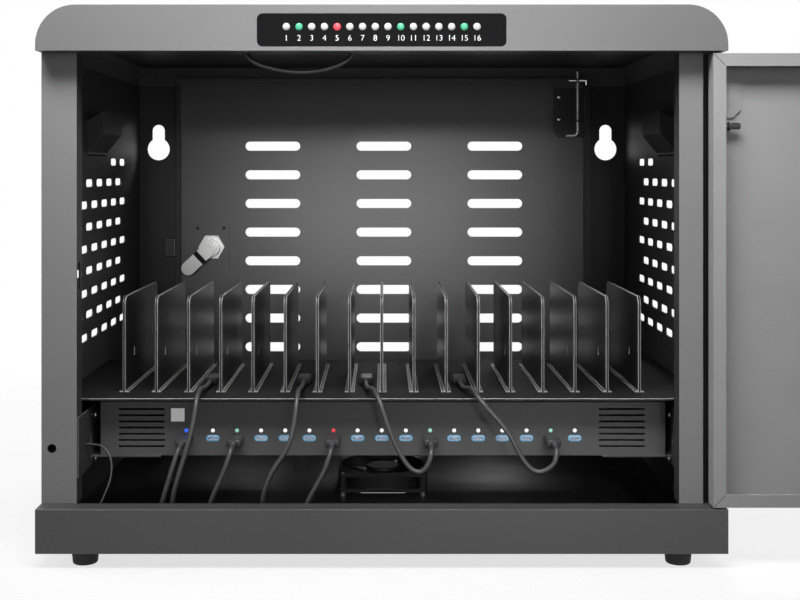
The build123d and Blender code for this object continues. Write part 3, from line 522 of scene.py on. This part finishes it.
# The door's inner face takes the lighter copy, painted light.
dress("front_door", door_lit_coat, "front_door", edge=0.0005, edge_highlight=edge_highlight_coat,
      coats=[(outer_coat, lambda spot, way: way.y > 0.5 and spot.y > -0.187)])
# The rear door's inner face takes the lighter copy, painted light.
dress("rear_door", rear_door_lit_coat, "rear_door", edge=0.0003, edge_highlight=inner_edge_highlight_coat,
      coats=[(outer_coat, lambda spot, way: way.y > 0.5)])
dress("front_hinge_bracket", door_lit_coat, "front_door", edge_highlight=edge_highlight_coat)
dress("rear_hinge_bracket", inner_shade_coat, "rear_door", edge_highlight=edge_highlight_coat)
dress("rear_catch", charger_coat, "cabinet", edge_highlight=edge_highlight_coat)
# The fan frame and the grips carry the pale painted edge highlight on their bevels.
dress("fan_frame", fan_plastic, "cabinet", edge=0.0004, edge_highlight=grip_edge)
for node in ("left_grip", "right_grip"):
    dress(node, plug_plastic, "cabinet", edge=0.0008, edge_highlight=grip_edge)
dress("rubber_feet", rubber, "cabinet", edge=0.0012, segments=3)
dress("display_window", smoked, "cabinet", edge=0.0003)
print("dressed pieces:", sum(mesh.name.endswith("_finished") for mesh in bpy.data.meshes))

# %% [markdown]
# Turned and moulded parts keep the CAD solid's own shape and only get a finish.

# %% Repaint the rest
for node, material in {
    # The port mouldings take the blue with a painted glow.
    "charger_ports": port_blue, "fan_standoffs": zinc,
    "fan_rotor": fan_plastic, "power_inlet": plug_plastic,
    # The rear hinge pin takes the paler zinc copy, a painted highlight.
    "front_hinge_pin": dark_steel, "rear_hinge_pin": bright_wire,
    "front_lock_barrel": zinc, "front_lock_nut": zinc, "front_lock_cam": zinc,
    "rear_lock_barrel": zinc, "rear_lock_nut": zinc, "rear_lock_cam": zinc,
}.items():
    repaint(node, material)
for obj in bpy.data.objects:
    if obj.type == "CURVE":
        obj.data.materials.append(dark_jacket if obj.name.startswith("ceiling") else jacket)
for plug in plugs:
    plug.data.materials.append(plug_plastic)
    plug.data.materials.append(zinc)
print("nodes repainted")

# %% [markdown]
# ## Small repeated pieces
# Lights, screws, rivets and springs are each one shape made many times. A Geometry Nodes tree
# holds the shape once, puts a copy on every point of a tiny mesh of loose vertices, and turns the
# copies into real faces at the end. The result is kept as a plain mesh for one CAD body.

# %% Helpers for node trees
def new_tree(name, sockets):
    """An empty geometry tree with named inputs, and its input and output nodes."""
    tree = bpy.data.node_groups.new(name, "GeometryNodeTree")
    tree.interface.new_socket(name="Geometry", in_out="OUTPUT", socket_type="NodeSocketGeometry")
    tree.interface.new_socket(name="Points", in_out="INPUT", socket_type="NodeSocketGeometry")
    for label, kind in sockets:
        tree.interface.new_socket(name=label, in_out="INPUT", socket_type="NodeSocket" + kind)
    tree.interface.new_socket(name="Finish", in_out="INPUT", socket_type="NodeSocketMaterial")
    return tree, tree.nodes.new("NodeGroupInput"), tree.nodes.new("NodeGroupOutput")


def scaled(tree, value, share):
    """One of the tree's numbers, multiplied by a share."""
    times = tree.nodes.new("ShaderNodeMath")
    times.operation = "MULTIPLY"
    times.inputs[1].default_value = share
    tree.links.new(value, times.inputs[0])
    return times.outputs[0]


def close_tree(tree, source, shape, target):
    """Ends a tree: smooth faces, real geometry and the finish."""
    smooth = tree.nodes.new("GeometryNodeSetShadeSmooth")
    real = tree.nodes.new("GeometryNodeRealizeInstances")
    paint = tree.nodes.new("GeometryNodeSetMaterial")
    tree.links.new(shape, smooth.inputs["Geometry"])
    tree.links.new(smooth.outputs[0], real.inputs[0])
    tree.links.new(real.outputs[0], paint.inputs["Geometry"])
    tree.links.new(source.outputs["Finish"], paint.inputs["Material"])
    tree.links.new(paint.outputs[0], target.inputs[0])
    print("tree", tree.name, "has", len(tree.nodes), "nodes")


def grow(name, tree, places, values, body):
    """Runs a tree on loose points, in metres, and keeps the result as a plain mesh."""
    points = bpy.data.meshes.new(name + "_points")
    points.from_pydata([tuple(place) for place in places], [], [])
    seed = bpy.data.objects.new(name + "_seed", points)
    bpy.context.scene.collection.objects.link(seed)
    modifier = seed.modifiers.new("grow", "NODES")
    modifier.node_group = tree
    for item in tree.interface.items_tree:
        if item.in_out == "INPUT" and item.name in values:
            modifier[item.identifier] = values[item.name]
    ready = seed.evaluated_get(bpy.context.evaluated_depsgraph_get())
    mesh = bpy.data.meshes.new_from_object(ready)
    mesh.name = name
    bpy.data.objects.remove(seed)
    print(name, len(places), "copies,", len(mesh.polygons), "faces")
    return add(name, mesh, body)


# %% [markdown]
# The status lights are domed lenses in the smoked window: a squashed sphere shows only its front
# half. Lit ones are green or red, as the photograph has them, and the rest are a pale milky white.
# The same tree makes the small lights over the charging ports, and a blue one by the host port.

# %% Lens tree
lens_tree, source, target = new_tree("lens_row", [("Radius", "Float"), ("Squash", "Vector")])
ball = lens_tree.nodes.new("GeometryNodeMeshUVSphere")
ball.inputs["Segments"].default_value = 24
ball.inputs["Rings"].default_value = 12
flat = lens_tree.nodes.new("GeometryNodeTransform")
put = lens_tree.nodes.new("GeometryNodeInstanceOnPoints")
lens_tree.links.new(source.outputs["Radius"], ball.inputs["Radius"])
lens_tree.links.new(ball.outputs["Mesh"], flat.inputs["Geometry"])
lens_tree.links.new(source.outputs["Squash"], flat.inputs["Scale"])
lens_tree.links.new(source.outputs["Points"], put.inputs["Points"])
lens_tree.links.new(flat.outputs[0], put.inputs["Instance"])
close_tree(lens_tree, source, put.outputs[0], target)

# %% [markdown]
# The places come from the boxes of the CAD solids, so the lights follow the window and the
# charger. The lenses of one colour in a row are one object.

# %% Status lights and port lights
light_count = 16
window_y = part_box("display_window")[0].y
light_low, light_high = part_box("display_leds")
light_radius = (light_high.z - light_low.z) / 2
light_pitch = (light_high.x - light_low.x - 2 * light_radius) / (light_count - 1)
light_z = (light_high.z + light_low.z) / 2
lens_share = 0.97           # a lens is a little smaller than the hole it sits in
lens_squash = (1.0, 0.35, 1.0)
lit = {2: green_lens, 5: red_lens, 10: green_lens, 15: green_lens}


def light_rows(name, node, lit, plain, first_x, pitch, y, z, radius):
    """One object for each colour in a row of lights."""
    rows = {}
    for number in range(1, light_count + 1):
        rows.setdefault(lit.get(number, plain), []).append((first_x + pitch * (number - 1), y, z))
    for finish, places in rows.items():
        row = grow(f"{name}_{finish.name}", lens_tree, places,
                   {"Radius": radius, "Squash": lens_squash, "Finish": finish},
                   "cabinet")
        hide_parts(node)


# The unlit lenses are white with a painted glow.
light_rows("status_light", "display_leds", lit, white_lens, light_low.x + light_radius,
           light_pitch, window_y, light_z, light_radius * lens_share)
port_light_low, port_light_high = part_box("charger_leds")
port_light_radius = (port_light_high.z - port_light_low.z) / 2
port_light_z = port_light_high.z - port_light_radius
lit_ports = {2: port_green, 6: red_lens, 10: port_green, 15: port_green}
# The free ports' lights are white with a painted glow.
light_rows("port_light", "charger_leds", lit_ports, port_lens, port_x(1) / 1000,
           port_pitch / 1000, port_light_low.y, port_light_z, port_light_radius * lens_share)
grow("host_light", lens_tree, [(host_x / 1000, port_light_low.y, port_light_z)],
     {"Radius": port_light_radius * lens_share, "Squash": lens_squash, "Finish": blue_lens},
     "cabinet")

# %% [markdown]
# Each charging port is a blue moulding round a thin metal shell with a tongue in its middle. The
# moulding is the CAD solid. The tongue and the shell's rim are one small shape, made once for each
# port that has no plug in it: a rounded ring swept from a curve, and a flat bar.

# %% Port tree
port_tree, source, target = new_tree("port_row", [
    ("Width", "Float"), ("Height", "Float"), ("Rim", "Float")])
outline = port_tree.nodes.new("GeometryNodeCurvePrimitiveQuadrilateral")
round_off = port_tree.nodes.new("GeometryNodeFilletCurve")
round_off.mode = "POLY"
round_off.inputs["Count"].default_value = 5
wire = port_tree.nodes.new("GeometryNodeCurvePrimitiveCircle")
wire.inputs["Resolution"].default_value = 6
rim = port_tree.nodes.new("GeometryNodeCurveToMesh")
bar_size = port_tree.nodes.new("ShaderNodeCombineXYZ")
bar = port_tree.nodes.new("GeometryNodeMeshCube")
join = port_tree.nodes.new("GeometryNodeJoinGeometry")
stand = port_tree.nodes.new("GeometryNodeTransform")
stand.inputs["Rotation"].default_value = (pi / 2, 0, 0)
put = port_tree.nodes.new("GeometryNodeInstanceOnPoints")
port_tree.links.new(source.outputs["Width"], outline.inputs["Width"])
port_tree.links.new(source.outputs["Height"], outline.inputs["Height"])
port_tree.links.new(outline.outputs[0], round_off.inputs["Curve"])
port_tree.links.new(scaled(port_tree, source.outputs["Height"], 0.48), round_off.inputs["Radius"])
port_tree.links.new(source.outputs["Rim"], wire.inputs["Radius"])
port_tree.links.new(round_off.outputs[0], rim.inputs["Curve"])
port_tree.links.new(wire.outputs[0], rim.inputs["Profile Curve"])
for axis, label, share in (("X", "Width", 0.72), ("Y", "Height", 0.22), ("Z", "Height", 0.3)):
    port_tree.links.new(scaled(port_tree, source.outputs[label], share), bar_size.inputs[axis])
port_tree.links.new(bar_size.outputs[0], bar.inputs["Size"])
port_tree.links.new(rim.outputs[0], join.inputs[0])
port_tree.links.new(bar.outputs["Mesh"], join.inputs[0])
port_tree.links.new(join.outputs[0], stand.inputs["Geometry"])
port_tree.links.new(source.outputs["Points"], put.inputs["Points"])
port_tree.links.new(stand.outputs[0], put.inputs["Instance"])
close_tree(port_tree, source, put.outputs[0], target)

# %% [markdown]
# The four ports in use get none, because a plug fills each.

# %% Port rims and tongues
port_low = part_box("charger_ports")[0]
free_ports = [number for number in range(1, light_count + 1) if number not in bay]
grow("port_shells", port_tree,
     [(port_x(number) / 1000, port_low.y - 0.00005, port_z / 1000) for number in free_ports],
     {"Width": 0.0086, "Height": 0.0030, "Rim": 0.00028, "Finish": port_metal},
     "cabinet")

# %% [markdown]
# A blank paper label sits on the charger by the host port, and a pinhole for the reset button
# beside it. Both are thin bevelled tiles that lie on the sheet.

# %% Label and pinhole
def tile(name, low, high, material, body, round_off=0.0004):
    """A thin tile between two corners, with rounded edges."""
    work = bmesh.new()
    made = bmesh.ops.create_cube(work, size=1)
    for vert in made["verts"]:
        vert.co = [a + (b - a) * (c + 0.5) for a, b, c in zip(low, high, vert.co)]
    through = [edge for edge in work.edges
               if abs((edge.verts[0].co - edge.verts[1].co).normalized().y) > 0.9]
    bmesh.ops.bevel(work, geom=through, offset=round_off, segments=4, affect="EDGES", profile=0.5)
    mesh = bpy.data.meshes.new(name)
    work.to_mesh(mesh)
    work.free()
    mesh.materials.append(material)
    return add(name, mesh, body)


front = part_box("charger_case")[0].y
# The label's paper carries a painted glow.
tile("blank_label", (-0.1747, front - 0.00012, 0.1026), (-0.1635, front + 0.0001, 0.1135),
     label_paper, "cabinet")
# The pinhole is a black tile on the sheet: painted shade where the hole is dark.
tile("reset_pinhole", (-0.1523, front - 0.00006, 0.0909), (-0.1507, front + 0.0002, 0.0925),
     fan_plastic, "cabinet", 0.0007)
print("charger front at Y", round(front, 4))

# %% [markdown]
# The numerals under the lights are printed ink: flat letters, a few hundredths of a millimetre
# thick. Each is a text curve made into a mesh, which is then turned upright and moved as a mesh.

# %% Numerals
numeral_z = 0.4117
numeral_size = 0.0064
ink = 0.00003               # half the thickness of the print
thinner = -0.00004          # takes a little off the strokes
numerals = bmesh.new()
for number in range(1, light_count + 1):
    text = bpy.data.curves.new("numeral", "FONT")
    text.body = str(number)
    text.size = numeral_size
    text.align_x = "CENTER"
    text.extrude = ink
    text.offset = thinner
    letter = bpy.data.objects.new("numeral", text)
    bpy.context.scene.collection.objects.link(letter)
    bpy.context.view_layer.update()
    mesh = bpy.data.meshes.new_from_object(letter)
    x = light_low.x + light_radius + light_pitch * (number - 1)
    place = Matrix.Translation((x, window_y - 0.00004, numeral_z))
    mesh.transform(place @ Matrix.Rotation(pi / 2, 4, "X"))
    numerals.from_mesh(mesh)
    bpy.data.objects.remove(letter)
numeral_mesh = bpy.data.meshes.new("window_numerals")
numerals.to_mesh(numeral_mesh)
numerals.free()
numeral_mesh.materials.clear()
numeral_mesh.materials.append(white_ink)
add("window_numerals", numeral_mesh, "cabinet")
print("numerals:", len(numeral_mesh.polygons), "faces")

# %% [markdown]
# Screws and rivets hold the brackets, a hinge and the inlet. A pan head is a short cone, and the
# driver cross is cut from it once, before it is copied: two crossed blocks and one boolean.

# %% Screw tree
screw_tree, source, target = new_tree("screw_set", [
    ("Radius", "Float"), ("Height", "Float"), ("Turn", "Vector"), ("Cross", "Float")])
head = screw_tree.nodes.new("GeometryNodeMeshCone")
head.inputs["Vertices"].default_value = 28
head.inputs["Side Segments"].default_value = 1
screw_tree.links.new(source.outputs["Radius"], head.inputs["Radius Bottom"])
screw_tree.links.new(scaled(screw_tree, source.outputs["Radius"], 0.72), head.inputs["Radius Top"])
screw_tree.links.new(source.outputs["Height"], head.inputs["Depth"])
cross = screw_tree.nodes.new("GeometryNodeJoinGeometry")
for sizes in ((1.0, 0.22), (0.22, 1.0)):
    arm = screw_tree.nodes.new("GeometryNodeMeshCube")
    size = screw_tree.nodes.new("ShaderNodeCombineXYZ")
    for axis, share in zip("XY", sizes):
        screw_tree.links.new(scaled(screw_tree, source.outputs["Cross"], share), size.inputs[axis])
    screw_tree.links.new(source.outputs["Height"], size.inputs["Z"])
    lift = screw_tree.nodes.new("GeometryNodeTransform")
    rise = screw_tree.nodes.new("ShaderNodeCombineXYZ")
    screw_tree.links.new(source.outputs["Height"], rise.inputs["Z"])
    screw_tree.links.new(size.outputs[0], arm.inputs["Size"])
    screw_tree.links.new(arm.outputs["Mesh"], lift.inputs["Geometry"])
    screw_tree.links.new(rise.outputs[0], lift.inputs["Translation"])
    screw_tree.links.new(lift.outputs[0], cross.inputs[0])
cut = screw_tree.nodes.new("GeometryNodeMeshBoolean")
cut.operation = "DIFFERENCE"
put = screw_tree.nodes.new("GeometryNodeInstanceOnPoints")
facing = screw_tree.nodes.new("FunctionNodeEulerToRotation")
screw_tree.links.new(head.outputs["Mesh"], cut.inputs["Mesh 1"])
screw_tree.links.new(cross.outputs[0], cut.inputs["Mesh 2"])
screw_tree.links.new(source.outputs["Points"], put.inputs["Points"])
screw_tree.links.new(cut.outputs["Mesh"], put.inputs["Instance"])
screw_tree.links.new(source.outputs["Turn"], facing.inputs[0])
screw_tree.links.new(facing.outputs[0], put.inputs["Rotation"])
close_tree(screw_tree, source, put.outputs[0], target)

# %% [markdown]
# Each place is a point of the face that a head sits on, and Turn points the head away from it.

# %% Screws and rivets
bracket_reach = 0.059       # from a bracket's inner edge to the outside of its upright leaf
sheet = 0.0015
left_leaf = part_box("left_bracket")[1].x - bracket_reach + sheet
right_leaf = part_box("right_bracket")[0].x + bracket_reach - sheet
bracket_screws = [(-0.1288, 0.1063), (-0.1288, 0.0702), (0.045, 0.1063), (0.045, 0.0702)]
for name, x, turn in (("left_bracket_screws", left_leaf, pi / 2),
                      ("right_bracket_screws", right_leaf, -pi / 2)):
    grow(name, screw_tree, [(x, y, z) for y, z in bracket_screws],
         {"Radius": 0.0034, "Height": 0.0018, "Turn": (0.0, turn, 0.3), "Cross": 0.0042,
          "Finish": zinc}, "cabinet")
rivet = {"Radius": 0.0030, "Height": 0.0012, "Cross": 0.0002, "Finish": zinc}
grow("rear_hinge_rivets", screw_tree, [(0.196, 0.1970, 0.3919), (0.196, 0.1970, 0.3671)],
     {**rivet, "Turn": (pi / 2, 0.0, 0.0)}, "rear_door")
inlet_low, inlet_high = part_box("power_inlet")
inlet_x = (inlet_low.x + inlet_high.x) / 2
inlet_z = (inlet_low.z + inlet_high.z) / 2
inlet_screw_reach = 0.020
grow("inlet_screws", screw_tree,
     [(inlet_x, inlet_high.y + 0.0004, inlet_z + way * inlet_screw_reach) for way in (-1, 1)],
     {"Radius": 0.0030, "Height": 0.0016, "Turn": (-pi / 2, 0.0, 0.0), "Cross": 0.0038,
      "Finish": zinc}, "cabinet")

# %% [markdown]
# The cam locks end in a bolt that holds the cam. Its head is one more pan head, and it turns with
# the cam. Two dark rivets stand above the lock, where the door's stiffener is fixed.

# %% Lock bolts and dark rivets
lock_z = 0.226
skin_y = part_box("rear_hinge_bracket")[1].y     # the inner face of the rear door's sheet
for side, x in (("rear", -0.188), ("front", 0.7433)):
    barrel_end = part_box(f"{side}_lock_barrel")[0].y
    grow(f"{side}_lock_bolt", screw_tree, [(x, barrel_end + 0.0002, lock_z)],
         {"Radius": 0.0052, "Height": 0.0026, "Turn": (pi / 2, 0.4, 0.0), "Cross": 0.0052,
          "Finish": zinc}, f"{side}_lock_cam")
grow("stiffener_rivets", screw_tree, [(-0.2046, skin_y, 0.2467), (-0.1752, skin_y, 0.2467)],
     {"Radius": 0.0032, "Height": 0.0014, "Turn": (pi / 2, 0.0, 0.0), "Cross": 0.0002,
      "Finish": fan_plastic}, "rear_door")

# %% [markdown]
# The front pin's handle carries a dark round stop. The block that hangs under the charger is the
# clamp of its own wiring.

# %% Handle stop and wiring clamp
pin_low, pin_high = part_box("front_hinge_pin")
grow("pin_handle_stop", lens_tree, [(0.2726, (pin_low.y + pin_high.y) / 2, pin_low.z + 0.0023)],
     {"Radius": 0.0036, "Squash": (0.55, 1.0, 1.0), "Finish": fan_plastic},
     "front_hinge_pin")
case_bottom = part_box("charger_case")[0].z
tile("wiring_clamp", (-0.0786, -0.062, 0.0410), (-0.0652, -0.042, case_bottom + 0.0002),
     plug_plastic, "cabinet", 0.0015)
print("handle stop and wiring clamp placed")

# %% [markdown]
# The door's lip is folded from four sides that meet at 45 degrees. The fold leaves a dark hairline
# at each corner, and a strip under half a millimetre wide is enough to draw it.

# %% Corner joints of the door's lip
door_low, door_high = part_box("front_door")
lip = 0.0096
lip_y = -0.20003            # just in front of the lip's flat face
door_bottom, door_top = 0.048, 0.402
inset, half_width = 0.0005, 0.00016
joints = bmesh.new()
for x, across in ((door_low.x, 1), (door_high.x, -1)):
    for z, up in ((door_bottom, 1), (door_top, -1)):
        start = Vector((x + inset * across, lip_y, z + inset * up))
        end = Vector((x + lip * across, lip_y, z + lip * up))
        half = Vector((half_width * across, 0, -half_width * up))
        corners = (start - half, start + half, end + half, end - half)
        face = joints.faces.new([joints.verts.new(corner) for corner in corners])
        face.normal_update()
        if face.normal.y > 0:
            face.normal_flip()
joint_mesh = bpy.data.meshes.new("lip_joints")
joints.to_mesh(joint_mesh)
joints.free()
joint_mesh.materials.append(fan_plastic)
add("lip_joints", joint_mesh, "front_door")
print("front door from X", round(door_low.x, 4), "to", round(door_high.x, 4))

# %% [markdown]
# A spring pushes each hinge pin up. It sits between the bracket's tab and the pin's collar, and
# the real one shortens when the pin is pulled. Here it rides on the door and keeps its length.

# %% Spring tree
spring_tree, source, target = new_tree("coil_spring", [
    ("Turns", "Float"), ("Coil Radius", "Float"), ("Wire", "Float"), ("Length", "Float")])
spiral = spring_tree.nodes.new("GeometryNodeCurveSpiral")
spiral.inputs["Resolution"].default_value = 26
wire = spring_tree.nodes.new("GeometryNodeCurvePrimitiveCircle")
wire.inputs["Resolution"].default_value = 10
skin = spring_tree.nodes.new("GeometryNodeCurveToMesh")
skin.inputs["Fill Caps"].default_value = True
put = spring_tree.nodes.new("GeometryNodeInstanceOnPoints")
for label, socket in (("Turns", "Rotations"), ("Coil Radius", "Start Radius"),
                      ("Coil Radius", "End Radius"), ("Length", "Height")):
    spring_tree.links.new(source.outputs[label], spiral.inputs[socket])
spring_tree.links.new(source.outputs["Wire"], wire.inputs["Radius"])
spring_tree.links.new(spiral.outputs[0], skin.inputs["Curve"])
spring_tree.links.new(wire.outputs[0], skin.inputs["Profile Curve"])
spring_tree.links.new(source.outputs["Points"], put.inputs["Points"])
spring_tree.links.new(skin.outputs[0], put.inputs["Instance"])
close_tree(spring_tree, source, put.outputs[0], target)

# %% [markdown]
# Each row has a spring's name, its joint, the body it rides on, the place of its foot, and the
# radius of its coil and of its wire.

# %% Springs
for name, joint, body, place, coil, gauge in (
    ("front_pin_spring", "front_pin_slide", "front_door", (0.26415, -0.192, 0.3581),
     0.0031, 0.00035),
    ("rear_pin_spring", "rear_pin_slide", "rear_door", (0.216, 0.194, 0.3660),
     0.0024, 0.00025),
):
    spring = grow(name, spring_tree, [place],
                  {"Turns": 6.0, "Coil Radius": coil, "Wire": gauge, "Length": 0.0155,
                   "Finish": zinc}, body)
    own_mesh(spring)

# %% [markdown]
# ## Floor, backdrop and light
# The photograph is a cut-out on white. The floor is a pale plane that still takes the object's
# shadow and turns into plain white further away. To the rays that light the object it is dark, so
# that nothing glows from below.

# %% Floor
floor_mesh = bpy.data.meshes.new("floor")
floor_mesh.from_pydata([(-9, -6, 0), (9, -6, 0), (9, 12, 0), (-9, 12, 0)], [], [(0, 1, 2, 3)])
floor = bpy.data.objects.new("floor", floor_mesh)
bpy.context.scene.collection.objects.link(floor)


def either(nodes, links, first, second):
    """A node that is one when either ray flag is."""
    highest = nodes.new("ShaderNodeMath")
    highest.operation = "MAXIMUM"
    links.new(first, highest.inputs[0])
    links.new(second, highest.inputs[1])
    return highest.outputs[0]


paper, nodes, links = shader("floor_paper")
surface = nodes["Principled BSDF"]
surface.inputs["Roughness"].default_value = 0.9
rays = nodes.new("ShaderNodeLightPath")
direct = either(nodes, links, rays.outputs["Is Camera Ray"], rays.outputs["Is Glossy Ray"])
tone = nodes.new("ShaderNodeMix")
tone.data_type = "RGBA"
tone.inputs["A"].default_value = (0.06, 0.06, 0.06, 1)
tone.inputs["B"].default_value = (0.88, 0.88, 0.88, 1)
links.new(direct, tone.inputs["Factor"])
links.new(tone.outputs["Result"], surface.inputs["Base Color"])
place = nodes.new("ShaderNodeTexCoord")
reach = nodes.new("ShaderNodeVectorMath")
reach.operation = "LENGTH"
links.new(place.outputs["Object"], reach.inputs[0])
fade = nodes.new("ShaderNodeMapRange")
fade.interpolation_type = "SMOOTHSTEP"
fade.inputs["From Min"].default_value = 0.42
fade.inputs["From Max"].default_value = 0.95
fade.inputs["To Min"].default_value = 0.72
links.new(reach.outputs["Value"], fade.inputs["Value"])
seen = nodes.new("ShaderNodeMath")
seen.operation = "MULTIPLY"
links.new(fade.outputs["Result"], seen.inputs[0])
links.new(direct, seen.inputs[1])
white = nodes.new("ShaderNodeEmission")
blend = nodes.new("ShaderNodeMixShader")
links.new(seen.outputs[0], blend.inputs["Fac"])
links.new(surface.outputs[0], blend.inputs[1])
links.new(white.outputs[0], blend.inputs[2])
links.new(blend.outputs[0], nodes["Material Output"].inputs["Surface"])
floor_mesh.materials.append(paper)
print("floor fades to white from", fade.inputs["From Min"].default_value, "m")

# %% [markdown]
# The world is white to the camera, through glass and in reflections, and lights the object only
# at a low, plain level.

# %% World
world = bpy.data.worlds.new("studio")
bpy.context.scene.world = world
world.use_nodes = True
nodes, links = world.node_tree.nodes, world.node_tree.links
backdrop = nodes["Background"]
backdrop.inputs["Color"].default_value = (1, 1, 1, 1)
rays = nodes.new("ShaderNodeLightPath")
through = either(nodes, links, rays.outputs["Is Camera Ray"], rays.outputs["Is Transmission Ray"])
mirrored = either(nodes, links, through, rays.outputs["Is Glossy Ray"])
level = nodes.new("ShaderNodeMapRange")
level.inputs["To Min"].default_value = 0.05
level.inputs["To Max"].default_value = 1.0
links.new(mirrored, level.inputs["Value"])
links.new(level.outputs["Result"], backdrop.inputs["Strength"])
print("world:", world.name)

# %% [markdown]
# Six soft boxes light the skins from above, the front, both sides and behind. The smallest only
# puts a glint on wires and plated parts. Three narrow spots reach into the cabinet from the
# front: two for the rear door and one for the charger.

# %% Lamps
def aim(obj, place, target):
    """Puts a lamp at a place and points it at a target."""
    bpy.context.scene.collection.objects.link(obj)
    obj.location = place
    obj.rotation_euler = (Vector(target) - Vector(place)).to_track_quat("-Z", "Y").to_euler()


def soft_box(name, place, target, size, power, spread):
    """A rectangular studio lamp aimed at a point. Power is in watts and spread in degrees."""
    lamp = bpy.data.lights.new(name, "AREA")
    lamp.shape = "RECTANGLE"
    lamp.size, lamp.size_y = size
    lamp.energy = power
    lamp.spread = radians(spread)
    aim(bpy.data.objects.new(name, lamp), place, target)


soft_box("top_box", (-0.06, -0.47, 0.80), (0.0, -0.19, 0.36), (0.8, 0.2), 3.8, 120)
soft_box("front_box", (0.1, -2.0, 0.72), (0.0, 0.2, 0.24), (0.7, 0.4), 0.12, 40)
soft_box("rear_box", (0.5, 2.0, 1.3), (0.0, 0.2, 0.22), (1.4, 0.7), 9, 90)
soft_box("wire_glint", (0.5, -2.3, 0.44), (0.0, 0.1, 0.30), (0.16, 0.16), 0.2, 60)
soft_box("left_strip", (-1.7, 0.2, 0.9), (0, 0, 0.25), (0.8, 1.2), 7, 120)
soft_box("right_strip", (1.9, 0.2, 0.9), (0.1, 0, 0.25), (0.8, 1.2), 7, 120)
for name, place, target, width, power in (
    ("left_spot", (-0.075, -2.2, 0.62), (-0.075, 0.19, 0.262), 7.4, 78),
    ("right_spot", (0.065, -2.2, 0.62), (0.065, 0.19, 0.262), 7.4, 78),
    ("charger_spot", (0.40, -2.0, 0.75), (0.12, -0.139, 0.105), 9.5, 24),
):
    spot = bpy.data.lights.new(name, "SPOT")
    spot.energy = power
    spot.spot_size = radians(width)
    spot.spot_blend = 1
    spot.shadow_soft_size = 0.10
    aim(bpy.data.objects.new(name, spot), place, target)
bpy.context.scene.view_settings.view_transform = "Standard"

# %% [markdown]
# The last transforms are brought up to date.

# %% Finish
bpy.context.view_layer.update()
